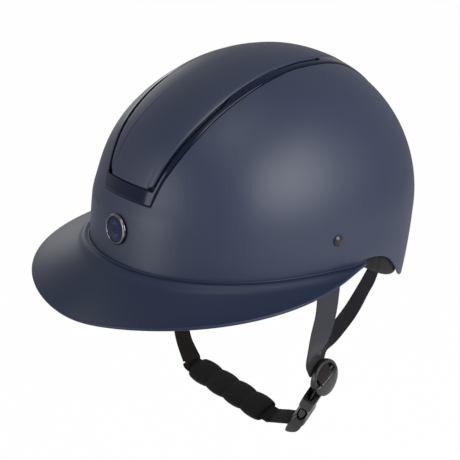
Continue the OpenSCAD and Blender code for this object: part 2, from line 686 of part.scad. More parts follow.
// The rear straps hang from blocks under the liner's edge behind the ears.
anchor_phi = 124;
anchor_in = 12.4;
anchor_top = on_shell(anchor_phi, angle_at(liner_drop(anchor_phi)), anchor_in);
anchor_up = [0, sin(shell_tilt), cos(shell_tilt)];
anchor_out = unit(cross(on_shell(anchor_phi + 2, 0, 0) - on_shell(anchor_phi - 2, 0, 0), anchor_up));
anchor_side = cross(anchor_up, anchor_out);
anchor_h = 5;
rear_path = [anchor_top - anchor_up * (PAD_SEAT + 1), anchor_top - anchor_up * (PAD_SEAT + anchor_h + 1),
    anchor_top - anchor_side * 1.25991 + anchor_out * 1.58517 - anchor_up * 11.70525, rear_bend,
    beside(13.4, 43, -3), beside(13.8, 30, -18.5),
    beside(15, 14, -33), beside(16.2, 3, -44), beside(16.2, -2, -52)];
rear_low = adjuster_side * 0.95 + adjuster_up * 0.2;
rear_across = [anchor_side, anchor_side, [-0.35, 0.9, -0.3], [-0.12, 0.8, -0.57], [-0.1, 0.8, -0.6],
    [0, 0.8, -0.6], [0, 0.85, -0.5], rear_low, rear_low];

module rivet_hole() {
    translate([strap_x, rivet_y, rivet_z]) rotate([0, 90, 0])
        cylinder(d = rivet_shank_d + 0.4, h = 6, center = true);
}

module front_strap() {
    difference() {
        strap(front_path, front_across, taper(front_strap_w, front_strap_low_w, len(front_path)),
            strap_t, 3);
        rivet_hole();
    }
}

module rear_strap() {
    strap(rear_path, rear_across, same(rear_strap_w, len(rear_path)), strap_t, 3);
}

module rear_anchors() {
    slot = strap_t + 0.7;
    wide = rear_strap_w + 0.8;
    color(black) mirrored() place(anchor_top - anchor_up * (PAD_SEAT + anchor_h), -anchor_side,
        anchor_out, anchor_up) difference() {
            translate([-wide / 2 - 1.6, -slot / 2 - 1.5, 0]) cube([wide + 3.2, slot + 3, anchor_h]);
            translate([-wide / 2, -slot / 2, -1]) cube([wide, slot, anchor_h + 0.4]);
        }
}

// Blocks that cut the right-hand straps at the opening line.
strap_block = 2 * shell_half_width;
module above_line() {
    translate([0, -strap_block / 2, bend_z - swing_gap]) cube(strap_block);
}

module below_line() {
    translate([0, -strap_block / 2, bend_z + SKIN - strap_block]) cube(strap_block);
}

module left_front_strap() {
    color(black) front_strap();
}

module left_rear_strap() {
    color(black) rear_strap();
}

module right_strap_anchors() {
    color(black) mirror([1, 0, 0]) {
        difference() {
            front_strap();
            below_line();
        }
        difference() {
            rear_strap();
            below_line();
        }
    }
}

module right_front_strap() {
    color(black) mirror([1, 0, 0]) difference() {
        front_strap();
        above_line();
    }
}

module right_rear_strap() {
    color(black) mirror([1, 0, 0]) difference() {
        rear_strap();
        above_line();
    }
}

module adjuster_frame() {
    place(adjuster_at, adjuster_side, adjuster_up, adjuster_out) children();
}

module adjuster_ring() {
    slot_w = webbing_w + 2.4;
    top_slot = 5.6;
    low_slot = 5;
    floor_t = adjuster_t / 2 + 0.4;
    adjuster_frame() difference() {
        translate([0, 0, -adjuster_t / 2]) rotate_extrude() polygon([[0, 0], [adjuster_d / 2 - 0.8, 0],
            [adjuster_d / 2, 0.8], [adjuster_d / 2, adjuster_t - 1], [adjuster_d / 2 - 1, adjuster_t],
            [0, adjuster_t]]);
        translate([-slot_w / 2, 1.2, -adjuster_t]) cube([slot_w, top_slot, 2 * adjuster_t]);
        translate([-slot_w / 2, -2.4 - low_slot, -adjuster_t]) cube([slot_w, low_slot, 2 * adjuster_t]);
        translate([0, 0, floor_t - adjuster_t / 2]) cylinder(d = adjuster_d - 5.4, h = adjuster_t);
    }
}

module adjuster_bar() {
    adjuster_frame() translate([0, 0, 0.7]) difference() {
        cylinder(d = adjuster_d - 6, h = 1.3);
        translate([-webbing_w / 2 - 0.8, -6.6, -1]) cube([webbing_w + 1.6, 12.6, 4]);
        translate([-adjuster_d, 0, -1]) cube([2 * adjuster_d, adjuster_d, 4]);
    }
}

module left_adjuster() {
    color(black) adjuster_ring();
}

module left_adjuster_bar() {
    color(black) adjuster_bar();
}

module right_adjuster() {
    color(black) mirror([1, 0, 0]) adjuster_ring();
}

module right_adjuster_bar() {
    color(black) mirror([1, 0, 0]) adjuster_bar();
}

// The buckle's frame: x across its width, y out of its wide face, z out of the socket's mouth.
// Its z follows the swing of the chin strap about the right-hand opening line.
swing_axis = unit(flip_x(rear_bend) - flip_x(front_bend));
mouth_at = beside(26.4, -7.5, -101.3);
buckle_z = unit(cross(swing_axis, mouth_at - flip_x(front_bend)));
buckle_x_hint = [-0.324, 0.891, 0.316];
buckle_x = unit(buckle_x_hint - buckle_z * (buckle_x_hint * buckle_z));
buckle_y = cross(buckle_z, buckle_x);

module buckle_frame() {
    place(mouth_at, buckle_x, buckle_y, buckle_z) children();
}

prong_out = buckle_w / 2 - 2.2 - prong_gap;
mouth_x = prong_out + prong_gap;
mouth_y = prong_t / 2 + prong_gap;
bar_slot = webbing_w + 1.2;

module buckle_socket() {
    cavity_l = prong_l + 2;
    color(black) buckle_frame() difference() {
        translate([-buckle_w / 2, -buckle_t / 2, -socket_l]) cube([buckle_w, buckle_t, socket_l]);
        translate([-mouth_x, -mouth_y, -cavity_l]) cube([2 * mouth_x, 2 * mouth_y, cavity_l + 1]);
        translate([-buckle_w, -mouth_y, -cavity_l])
            cube([2 * buckle_w, 2 * mouth_y, cavity_l - mouth_post]);
        translate([-bar_slot / 2, -buckle_t, -socket_l + 2.2]) cube([bar_slot, 2 * buckle_t, 2.8]);
    }
}

module buckle_tongue() {
    color(black) buckle_frame() {
        difference() {
            translate([-buckle_w / 2 + 0.2, -buckle_t / 2 + 0.4, mouth_gap])
                cube([buckle_w - 0.4, buckle_t - 0.8, tongue_l - mouth_gap]);
            translate([-bar_slot / 2, -buckle_t, 3.4]) cube([bar_slot, 2 * buckle_t, 3]);
            translate([-bar_slot / 2, -buckle_t, 8.8]) cube([bar_slot, 2 * buckle_t, 3.4]);
        }
        translate([-2.2, -1.2, -prong_l + 2]) cube([4.4, 2.4, prong_l - 1.5]);
    }
}

// One sprung prong: side is -1 for the brow side. Its root turns on a round heel.
module prong(side) {
    heel_z = -prong_w / 2;
    heel_x = side * (prong_out - prong_w / 2);
    color(black) buckle_frame() {
        translate([heel_x, 0, heel_z]) rotate([90, 0, 0])
            cylinder(d = prong_w, h = prong_t, center = true);
        translate([heel_x - prong_w / 2, -prong_t / 2, -prong_l])
            cube([prong_w, prong_t, prong_l + heel_z]);
    }
}

module front_prong() {
    prong(-1);
}

module rear_prong() {
    prong(1);
}

// Short loop of webbing from the left adjuster round the bar at the socket's top.
module buckle_webbing() {
    bar = mouth_at + buckle_z * (3.6 - socket_l);
    back = buckle_t / 2 + webbing_t / 2 + PAD_SEAT;
    path = [beside(10.8, -12.8, -69.4), beside(14.2, -12.3, -74.7),
        bar - buckle_y * (back + 0.3) - buckle_z * 3, bar - buckle_y * (back + 0.3),
        bar - buckle_y * 2];
    color(black) strap(path, same(buckle_x, len(path)), same(webbing_w, len(path)), webbing_t, 3);
}

// The chin strap: down from the right adjuster, straight through the pad and up to the tongue.
chin_from = [-68.5, -2.9, -117.1];
chin_to = [36.5, -8.7, -118.3];
chin_dir = unit(chin_to - chin_from);
chin_across = unit([0, 0.906, 0.42] - chin_dir * ([0, 0.906, 0.42] * chin_dir));
chin_face = cross(chin_dir, chin_across);
chin_mid = chin_from + chin_dir * norm(chin_to - chin_from) / 2;

module chin_webbing() {
    bar = mouth_at + buckle_z * 10.5;
    start = flip_x(adjuster_side);
    cheek = flip_x(beside(11.6, 1, -91.5));
    lift = bar - buckle_y * 9 + buckle_z * 1.5;
    // Place between the cheek and the straight part under the chin, at a share of the way out.
    turn = function(share, y, z) [chin_from[0] + (cheek[0] - chin_from[0]) * share, y, z];
    path = [flip_x(beside(12.5, -1, -69)), flip_x(beside(12.2, 0.4, -79.5)), cheek,
        turn(18.5 / 23.3, 0, -101), turn(11.5 / 23.3, -1.2, -108), turn(5.5 / 23.3, -2.2, -113),
        chin_from, (chin_from + chin_to) / 2, chin_to, chin_to + chin_dir * 5 + [0, 0, 1],
        [chin_to[0] + (lift[0] - chin_to[0]) * 0.495755, -9.2, -112], lift,
        bar - buckle_y * 6, bar - buckle_y * 2];
    across = [start, start, level, level, level + [0, 0, 0.2], level + [0, 0, 0.4], chin_across,
        chin_across, chin_across, chin_across, chin_across, buckle_x, buckle_x, buckle_x];
    color(black) strap(path, across, same(webbing_w, len(path)), webbing_t, 3);
}

// Padded sleeve of the chin strap, with scalloped lobes and a flat slot for the webbing.
module chin_pad() {
    around = 16;
    steps = 28;
    slot_w = webbing_w / 2 + 0.8;
    slot_t = webbing_t / 2 + 0.5;
    lobe = function(u) pow(abs(sin(180 * chin_pad_lobes * u)), 0.7);
    swell = function(u) 1 - chin_pad_waist / chin_pad_w * (1 - lobe(u));
    at = function(u, x, z) chin_mid + chin_dir * (u - 0.5) * chin_pad_l + chin_across * x + chin_face * z;
    bulge = function(u, a) at(u,
        chin_pad_w / 2 * swell(u) * sign(cos(a)) * pow(abs(cos(a)), 0.8),
        chin_pad_t / 2 * swell(u) * sign(sin(a)) * pow(abs(sin(a)), 0.8));
    square = function(v) max(-1, min(1, 1.5 * v));
    hole = function(u, a) at(u, slot_w * square(cos(a)), slot_t * square(sin(a)));
    angles = [for (i = [0:around - 1]) 360 * i / around];
    outer = [for (i = [0:steps]) [for (a = angles) bulge(i / steps, a)]];
    inner = [for (u = [1, 0.5, 0]) [for (a = angles) hole(u, a)]];
    color(black) frame_of(concat(outer, inner));
}

outer_shell();
brim();
vent_trim();
centre_panel();
vent_grilles();
impact_liner();
crown_liner();
crown_pad();
brow_pad();
nape_pad();
badge_ring();
badge_face();
badge_clip();
side_rivets();
rivet_washers();
rear_anchors();
left_front_strap();
left_rear_strap();
left_adjuster();
left_adjuster_bar();
buckle_webbing();
buckle_socket();
right_strap_anchors();
right_front_strap();
right_rear_strap();
right_adjuster();
right_adjuster_bar();
chin_webbing();
chin_pad();
buckle_tongue();
front_prong();
rear_prong();
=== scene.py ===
"""Riding helmet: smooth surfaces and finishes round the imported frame.

Every shape is a function of two parameters, worked out in millimetres in the part's own frame: the
brow faces -Y, the wearer's left is +X, the crown is +Z and the origin is the middle of the head
opening. Meshes are written in metres.
"""

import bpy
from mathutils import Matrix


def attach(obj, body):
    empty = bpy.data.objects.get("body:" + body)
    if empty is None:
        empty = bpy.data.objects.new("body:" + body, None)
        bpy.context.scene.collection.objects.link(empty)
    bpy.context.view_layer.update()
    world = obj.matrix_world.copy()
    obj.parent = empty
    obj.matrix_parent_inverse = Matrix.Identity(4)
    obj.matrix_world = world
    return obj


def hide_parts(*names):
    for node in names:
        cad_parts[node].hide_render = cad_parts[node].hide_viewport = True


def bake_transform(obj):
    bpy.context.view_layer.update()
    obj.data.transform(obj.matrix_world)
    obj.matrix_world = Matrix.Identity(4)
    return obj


bl_info = {
    "name": "Riding Helmet",
    "version": (1, 0, 0),
    "blender": (4, 5, 0),
    "location": "3D View > Sidebar > Helmet",
    "description": "Builds a riding helmet with its harness round a packed frame",
    "category": "Object",
}

import bmesh
import bpy
import numpy as np
from bpy.props import FloatProperty, FloatVectorProperty, IntProperty, PointerProperty
from mathutils import Matrix, Vector

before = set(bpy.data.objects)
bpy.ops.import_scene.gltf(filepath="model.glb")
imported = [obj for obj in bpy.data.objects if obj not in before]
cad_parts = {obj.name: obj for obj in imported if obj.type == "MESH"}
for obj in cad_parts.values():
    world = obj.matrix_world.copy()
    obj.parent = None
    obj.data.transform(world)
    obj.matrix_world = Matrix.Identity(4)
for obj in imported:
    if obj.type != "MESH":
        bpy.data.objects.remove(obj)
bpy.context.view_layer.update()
MM, FLOOR_REACH = 0.001, 6.0


def arr(*v):
    """Numbers or points as one array."""
    return np.array(v, float)


def unit(v):
    """Vectors along the last axis, each divided by its length."""
    v = np.asarray(v, float)
    return v / np.maximum(np.linalg.norm(v, axis=-1, keepdims=True), 1e-12)


def smooth(x):
    """Soft step: 3 x^2 - 2 x^3 between 0 and 1."""
    x = np.clip(x, 0, 1)
    return x * x * (3 - 2 * x)


def spread(v, power=0.7):
    """Signed power: under 1 it squares off a round section."""
    return np.sign(v) * np.abs(v) ** power


def circle(n):
    """Cosine and sine at n points evenly round a turn."""
    a = np.linspace(0, 2 * np.pi, n, endpoint=False)
    return np.cos(a), np.sin(a)


def together(*v):
    """Points whose coordinates are arrays, each stretched to the shape of all."""
    return np.stack(np.broadcast_arrays(*v), -1)


def fold(phi):
    """Azimuth from the brow, 0 to 180, the same on both sides."""
    phi = np.abs(np.asarray(phi, float)) % 360
    return np.where(phi > 180, 360 - phi, phi)


# The shell's own sizes, as in the part's source.
SHELL_FRONT, SHELL_REAR, SHELL_HALF = 134.5, 139.0, 108.4
CROWN_RISE, SKIRT_DROP = 120.3, 205.5
PLAN_POWER, SIDE_POWER, CROWN_POWER = 2.18, 2.415, 1.956
CROWN_SHIFT, TILT, SHELL_Y, SHELL_Z = 8.0, np.radians(7.5), 5.8, 60.0
WALL, RECESS = 2.6, 2.6
BROW_SEAM, TEMPLE_SEAM, RIM_LIP = 37.9, 27.6, 8.0
NOTCH_DROP, NAPE_DROP, NOTCH_FROM, NOTCH_TO = 25.0, 58.0, 106.0, 144.0
BRIM_SWEEP, BRIM_WIDTH, BRIM_SIDE, BRIM_FALL, BRIM_LIFT = 105.0, 48.3, 3.6, 28.6, 11.2
BRIM_POWER, BRIM_END, BRIM_EDGE, BRIM_OVER = 1.705, 1.264, 3.0, 0.25
FRONT_BAR, REAR_BAR, BAR_WIDTH = 6.2, 24.0, 11.5
BAND_FRONT, BAND_MIDDLE, BAND_REAR = 7.7, 8.0, 7.5
FRONT_VENT, REAR_VENT, FRONT_FLAT = 3.4, 3.2, 3.0
FRAME_PROUD, PANEL_PROUD, JOINT = 0.8, 1.0, 0.35
LINER_DEPTH, LINER_SETBACK = 23.5, 3.0
CORNER_POWER, BAR_PITCH = 8, 2.05
FRAME_LINE = arr([10, 26.6], [12, 28.6], [13, 30], [14.4, 32.5], [17.8, 37.6], [20.8, 40.7],
                 [24, 42.3], [33, 43.2], [48, 41.6], [65, 39], [90, 37], [116, 34.5], [145, 29.5],
                 [160, 25], [170, 21])
PANEL_LINE = arr([10, 22.9], [12.2, 27.5], [14.1, 30.3], [16, 32.5], [18.6, 34.5], [21.2, 35.8],
                 [25, 36.2], [29, 36], [34.7, 35.4], [51.4, 33.3], [90, 29.6], [122, 27], [145, 22.4],
                 [160, 17.8], [170, 13.6])
FRONT_SPAN, REAR_SPAN = (9.6, 27.5), (49.0, 126.0)
LINER_SPLIT, LINER_JOINT, BADGE_T, BADGE_LEAN = 98.0, 0.4, -1.9, np.radians(0.7)

# The harness: its places on the wearer's left, and the frames of adjuster, buckle and badge.
MIRROR = arr(-1, 1, 1)
STRAP_X, RIVET_Y, RIVET_Z = 103.4, -2.3, 56.3
STRAP_T, FRONT_WIDE, FRONT_NARROW, REAR_WIDE, WEBBING_BELOW = 1.4, 26.0, 19.5, 17.0, -46.0
WEB_W, WEB_T = 16.0, 1.4
ADJ_AT, ADJ_OUT = arr(94, -1, -65), unit(arr(0.98, 0.18, 0.07))
UP, LEVEL = arr(0, 0, 1), arr(0, 1, 0)
ADJ_SIDE = unit(np.cross(UP, ADJ_OUT))
ADJ_UP = np.cross(ADJ_OUT, ADJ_SIDE)
FRONT_BEND, REAR_BEND = arr(96.4, -0.6, 5), arr(89.7, 50, 5)
ADJ_TURN, PLATE_R = np.radians(22), 14.9
PLATE_SIDE = ADJ_SIDE * np.cos(ADJ_TURN) + ADJ_UP * np.sin(ADJ_TURN)
PLATE_UP = ADJ_UP * np.cos(ADJ_TURN) - ADJ_SIDE * np.sin(ADJ_TURN)
BEND_LINE = unit(REAR_BEND - FRONT_BEND)
SWING = unit((REAR_BEND - FRONT_BEND) * MIRROR)
MOUTH = arr(77, -7.5, -101.3)
BUCKLE_Z = unit(np.cross(SWING, MOUTH - FRONT_BEND * MIRROR))
BUCKLE_X = arr(-0.324, 0.891, 0.316)
BUCKLE_X = unit(BUCKLE_X - BUCKLE_Z * (BUCKLE_X @ BUCKLE_Z))
BUCKLE_Y = np.cross(BUCKLE_Z, BUCKLE_X)
CHIN_FROM, CHIN_TO = arr(-68.5, -2.9, -117.1), arr(36.5, -8.7, -118.3)
CHIN_DIR = unit(CHIN_TO - CHIN_FROM)
CHIN_ACROSS = arr(0, 0.906, 0.42)
CHIN_ACROSS = unit(CHIN_ACROSS - CHIN_DIR * (CHIN_ACROSS @ CHIN_DIR))
CHIN_FACE = np.cross(CHIN_DIR, CHIN_ACROSS)
CHIN_MIDDLE = (CHIN_FROM + CHIN_TO) / 2
CHIN_L, CHIN_HALF_W, CHIN_HALF_T, CHIN_WAIST, CHIN_LOBES = 97.0, 11.75, 4.6, 1.5, 4
BUCKLE = (MOUTH, (BUCKLE_X, BUCKLE_Y, BUCKLE_Z))


def curve_at(x, pts):
    """Cubic through the points of a list, with each point's slope taken from its neighbours."""
    px, py = pts[:, 0], pts[:, 1]
    n = len(px)
    lo, hi = np.maximum(np.arange(n) - 1, 0), np.minimum(np.arange(n) + 1, n - 1)
    m = (py[hi] - py[lo]) / (px[hi] - px[lo])
    i = np.clip(np.searchsorted(px, x, side="right") - 1, 0, n - 2)
    h = px[i + 1] - px[i]
    u = (x - px[i]) / h
    return (py[i] * (1 + 2 * u) * (1 - u) ** 2 + py[i + 1] * u * u * (3 - 2 * u)
            + h * m[i] * u * (1 - u) ** 2 - h * m[i + 1] * u * u * (1 - u))


def plan_r(phi, d):
    """Radius of the plan outline, a superellipse, moved inwards by d."""
    s, c = np.sin(np.radians(phi)), np.cos(np.radians(phi))
    length = np.where(c > 0, SHELL_FRONT, SHELL_REAR) - d
    return ((np.abs(s) / (SHELL_HALF - d)) ** PLAN_POWER
            + (np.abs(c) / length) ** PLAN_POWER) ** (-1 / PLAN_POWER)


def forehead(phi, t, d):
    """How far the forehead is flattened: most above the badge, fading out all round and inwards."""
    return (FRONT_FLAT * smooth((t + 2) / 11) * (1 - smooth((t - 9) / 25))
            * smooth((50 - fold(phi)) / 35) * np.clip(1 - d / LINER_DEPTH, 0, 1))


def on_shell(phi, t, d):
    """Point at azimuth phi and elevation angle t in degrees, d under the outer face: a superellipse
    in plan whose radius shrinks by a power of cos t while the height grows by a power of sin t."""
    phi, t, d = np.broadcast_arrays(*(np.asarray(v, float) for v in (phi, t, d)))
    a, e = np.radians(phi), np.radians(t)
    up = t > 0
    r = plan_r(phi, d) * np.cos(e) ** (2 / np.where(up, CROWN_POWER, SIDE_POWER)) - forehead(phi, t, d)
    se = np.abs(np.sin(e))
    rise = np.where(up, (CROWN_RISE - d) * se ** (2 / CROWN_POWER), -SKIRT_DROP * se ** (2 / SIDE_POWER))
    y = np.where(up, CROWN_SHIFT * se ** 2, 0) - r * np.cos(a)
    return np.stack([r * np.sin(a), SHELL_Y + y * np.cos(TILT) + rise * np.sin(TILT),
                     SHELL_Z - y * np.sin(TILT) + rise * np.cos(TILT)], -1)


def angle_at(drop):
    """Elevation angle of the side wall at a depth below the widest line."""
    return -np.degrees(np.arcsin((np.asarray(drop, float) / SKIRT_DROP) ** (SIDE_POWER / 2)))


def seam_drop(phi):
    """Depth of the brim's seam: a soft step up from the brow to the temples."""
    return BROW_SEAM + (TEMPLE_SEAM - BROW_SEAM) * smooth(fold(phi) / BRIM_SWEEP)


def rim_drop(phi):
    """Depth of the shell's rim: below the brim's seam, up into the notch, down to the nape."""
    f = fold(phi)
    q = np.minimum(1, f / BRIM_SWEEP) ** 6
    front = seam_drop(phi) + RIM_LIP * (1 - q) - (TEMPLE_SEAM - NOTCH_DROP) * q
    rear = NOTCH_DROP + (NAPE_DROP - NOTCH_DROP) * smooth(
        np.maximum(0, (f - NOTCH_FROM) / (NOTCH_TO - NOTCH_FROM)) ** 1.4)
    return np.where(f <= BRIM_SWEEP, front, rear)


def liner_drop(phi):
    """Depth of the liner's lower edge: a setback above the rim, and level behind the ears."""
    return np.where(fold(phi) <= BRIM_SWEEP, rim_drop(phi), NOTCH_DROP) - LINER_SETBACK


def edge_t(phi, side_in, bar_in):
    """Elevation angle of a line side_in inside the vent frame's long edges and bar_in inside its
    bars: the two limits joined by a power mean, which rounds the corners."""
    f = fold(phi)
    g = np.clip(f, 10, 170)
    outer = curve_at(g, FRAME_LINE)
    w = outer - (outer - curve_at(g, PANEL_LINE)) * side_in / band(phi)
    ratio = w / (plan_r(phi, 0) * np.maximum(0.01, np.sin(np.radians(f))))
    side = np.degrees(np.arccos(np.minimum(1, ratio) ** (CROWN_POWER / 2)))
    bar = np.where(f < 90, FRONT_BAR, REAR_BAR) + bar_in / BAR_PITCH
    return (side ** CORNER_POWER + bar ** CORNER_POWER) ** (1 / CORNER_POWER)


def band(phi):
    """Distance between the frame's outer line and the panel's: soft steps between three widths."""
    f = fold(phi)
    return (BAND_FRONT + (BAND_MIDDLE - BAND_FRONT) * smooth((f - 27) / 6)
            + (BAND_REAR - BAND_MIDDLE) * smooth((f - 60) / 60))


def vent(phi):
    """Width of the vents at an azimuth, rounded off at both ends of each."""
    f = fold(phi)

    def run(span, width, soft):
        """One vent's width: a quarter of an ellipse at each end of its span."""
        a = np.clip((f - span[0]) / soft[0], 0, 1)
        b = np.clip((span[1] - f) / soft[1], 0, 1)
        return width * np.sqrt(np.maximum(0, (1 - (1 - a) ** 2) * (1 - (1 - b) ** 2)))

    return run(FRONT_SPAN, FRONT_VENT, (0.9, 1.6)) + run(REAR_SPAN, REAR_VENT, (3.0, 4.0))


def vent_out_t(phi):
    """Elevation angle of the vents' outer edge: the frame's inner line less the vent's width."""
    return edge_t(phi, band(phi) - JOINT - vent(phi), BAR_WIDTH)


def vent_in_t(phi):
    """Elevation angle of the vents' inner edge: the panel's line with its gap."""
    return edge_t(phi, band(phi) + JOINT, BAR_WIDTH + 2 * JOINT)


def azimuths():
    """Azimuths all round, closest together at the corners of the vent frame and the vents' ends."""
    half = np.concatenate([np.arange(0, 8, 1.0), np.arange(8, 36, 0.25), np.arange(36, 48, 0.75),
                           np.arange(48, 54, 0.5), np.arange(54, 120, 1.0), np.arange(120, 128, 0.5),
                           np.arange(128, 156, 1.0), np.arange(156, 178, 0.5), [178, 179, 180]])
    return np.concatenate([half, 360 - half[-2:0:-1]])


PHI = azimuths()


def between(a, b, depth, shares):
    """Section from one elevation angle to another at one depth: a + (b - a) times each share."""
    return [(a + (b - a) * k, depth) for k in shares]


def on_section(section, phi=PHI, axis=0):
    """Rows of points on the shell, one for each elevation angle and depth of a section."""
    return np.stack([on_shell(phi, t, d) for t, d in section], axis)


def spline(points, steps):
    """Catmull-Rom run through points or numbers: a cubic between each two from their neighbours."""
    p = np.asarray(points, float)
    q = np.concatenate([p[:1], p, p[-1:]])
    u = (np.arange(steps) / steps).reshape((-1,) + (1,) * (p.ndim - 1))
    runs = [0.5 * (2 * b + (c - a) * u + (2 * a - 5 * b + 4 * c - d) * u ** 2
                   + (3 * b - a - 3 * c + d) * u ** 3)
            for a, b, c, d in zip(q[:-3], q[1:-2], q[2:-1], q[3:])]
    return np.concatenate(runs + [p[-1:]])


def quads(rows, cols, wrap_rows=False, wrap_cols=True):
    """Indices of the four-sided faces of a grid of points, as an array."""
    i = np.arange(rows if wrap_rows else rows - 1)
    j = np.arange(cols if wrap_cols else cols - 1)
    i, j = np.meshgrid(i, j, indexing="ij")
    a, b = i * cols + j, i * cols + (j + 1) % cols
    c, d = ((i + 1) % rows) * cols + (j + 1) % cols, ((i + 1) % rows) * cols + j
    return np.stack([a, b, c, d], -1)


def new_object(name, verts, faces, uv=None):
    """Mesh object from points in millimetres, arrays of faces, and UV in metres for each point."""
    mesh = bpy.data.meshes.new(name)
    lists = [face for block in faces for face in block.tolist()]
    mesh.from_pydata((np.asarray(verts, float).reshape(-1, 3) * MM).tolist(), [], lists)
    if uv is not None:
        layer = mesh.uv_layers.new(name="UVMap")
        index = np.empty(len(mesh.loops), np.int32)
        mesh.loops.foreach_get("vertex_index", index)
        layer.data.foreach_set("uv", (uv * MM)[index].ravel())
    mesh.polygons.foreach_set("use_smooth", np.ones(len(mesh.polygons), bool))
    mesh.update()
    obj = bpy.data.objects.new(name, mesh)
    bpy.context.scene.collection.objects.link(obj)
    return obj


def outward(obj):
    """Turns a closed mesh's faces outwards: the sum of the signed volumes decides."""
    mesh = obj.data
    mesh.calc_loop_triangles()
    co = np.empty(len(mesh.vertices) * 3)
    mesh.vertices.foreach_get("co", co)
    tri = np.empty(len(mesh.loop_triangles) * 3, np.int32)
    mesh.loop_triangles.foreach_get("vertices", tri)
    p = co.reshape(-1, 3)[tri.reshape(-1, 3)]
    if np.einsum("ij,ij->", p[:, 0], np.cross(p[:, 1], p[:, 2])) < 0:
        mesh.flip_normals()
    return obj


def grid_object(name, points, wrap_rows=False, uv=None, skip=None):
    """Surface over a grid of points, (rows, columns, 3), whose columns close on themselves; its rows
    close too, or end in a fan at each end."""
    rows, cols = points.shape[:2]
    q = quads(rows, cols, wrap_rows)
    if skip is not None:
        q = q[~skip]
    verts = points.reshape(-1, 3)
    faces = [q.reshape(-1, 4)]
    coords = None if uv is None else uv.reshape(-1, 2)
    for row in () if wrap_rows else (0, rows - 1):
        ring = row * cols + np.arange(cols)
        mid = np.full(cols, len(verts))
        verts = np.concatenate([verts, points[row].mean(0, keepdims=True)])
        if coords is not None:
            coords = np.concatenate([coords, uv[row].mean(0, keepdims=True)])
        turn = np.roll(ring, -1)
        faces.append(np.stack([mid, turn, ring] if row == 0 else [mid, ring, turn], -1))
    return outward(new_object(name, verts, faces, coords))


def ribbon(name, centre, across, widths, thick, steps, groove=0.14):
    """Strap: a flat section with round edges carried along a smooth run of points. Its two faces dip
    in a narrow line beside each edge."""
    hem, narrow, sides, edge = 2.0, 0.35, 25, 10
    path = spline(centre, steps)
    lean, wide = spline(across, steps), spline(widths, steps)
    along = unit(np.gradient(path, axis=0))
    side = unit(lean - along * np.sum(lean * along, -1, keepdims=True))
    face = np.cross(along, side)
    half = wide[:, None] / 2
    x = spread(np.linspace(-1, 1, sides), 0.8)[None] * (half - thick / 2)
    dip = groove * np.exp(-(((half - np.abs(x)) - hem) / narrow) ** 2)
    top, low = together(x, thick / 2 - dip), together(x, -thick / 2 + dip)
    a = np.linspace(0, np.pi, edge)[1:-1]
    round_x, round_y = np.sin(a) * thick / 2, np.cos(a) * thick / 2
    right, left = together(x[:, -1:] + round_x, round_y), together(x[:, :1] - round_x, -round_y)
    sec = np.concatenate([top, right, low[:, ::-1], left], 1)
    pts = path[:, None] + side[:, None] * sec[..., :1] + face[:, None] * sec[..., 1:]
    run = np.concatenate([[0], np.cumsum(np.linalg.norm(np.diff(path, axis=0), axis=1))])
    return grid_object(name, pts, uv=together(sec[..., 0], run[:, None]))


def place(points, at, axes):
    """Points from a local frame of three directions to a place in the part."""
    x, y, z = axes
    return arr(*at) + points[..., :1] * x + points[..., 1:2] * y + points[..., 2:] * z


def shaped(name, at, axes, x, y, z, ring=False):
    """Surface whose points are given by three coordinates in a local frame."""
    return grid_object(name, place(together(x, y, z), at, axes), wrap_rows=ring)


def lathe(name, profile, at, axes, n=96, ring=False):
    """Profile of (radius, height) turned about the third axis; a ring's profile is a closed loop."""
    cos, sin = circle(n)
    r, h = np.asarray(profile, float).T[..., None]
    return shaped(name, at, axes, r * cos, r * sin, h, ring)


def rounded(pairs, radius, n=5):
    """Profile whose inner corners are rounded by arcs of quadratic curves of one radius."""
    p = np.asarray(pairs, float)
    out = [p[:1]]
    for a, b, c in zip(p[:-2], p[1:-1], p[2:]):
        cut = min(radius, np.linalg.norm(a - b) / 2.1, np.linalg.norm(c - b) / 2.1)
        s, e = b + unit(a - b) * cut, b + unit(c - b) * cut
        u = np.linspace(0, 1, n)[:, None]
        out.append(s * (1 - u) ** 2 + 2 * b * u * (1 - u) + e * u ** 2)
    return np.concatenate(out + [p[-1:]])


class Wire:
    """One output socket of a node tree, with sums and products as Math nodes."""

    def __init__(self, tree, socket):
        self.tree, self.socket = tree, socket

    def math(self, operation, *others, first=None):
        node = self.tree.nodes.new("ShaderNodeMath")
        node.operation = operation
        values = (self,) + others if first is None else (first, self)
        for slot, value in zip(node.inputs, values):
            plug(self.tree, slot, value)
        return Wire(self.tree, node.outputs[0])

    def __add__(self, other):
        return self.math("ADD", other)

    def __mul__(self, other):
        return self.math("MULTIPLY", other)

    def __sub__(self, other):
        return self.math("SUBTRACT", other)

    def __rsub__(self, other):
        return self.math("SUBTRACT", first=other)

    __radd__, __rmul__ = __add__, __mul__

    def sin(self):
        return self.math("SINE")

    def step(self, low, high):
        """0 below low, 1 above high and smooth between, as a Map Range node."""
        node = self.tree.nodes.new("ShaderNodeMapRange")
        node.interpolation_type = "SMOOTHSTEP"
        plug(self.tree, node.inputs["Value"], self)
        node.inputs["From Min"].default_value = low
        node.inputs["From Max"].default_value = high
        return Wire(self.tree, node.outputs[0])


def plug(tree, slot, value):
    """Links a wire to a socket, or sets the socket's own value."""
    if isinstance(value, Wire):
        tree.links.new(value.socket, slot)
    elif value is not None:
        slot.default_value = value


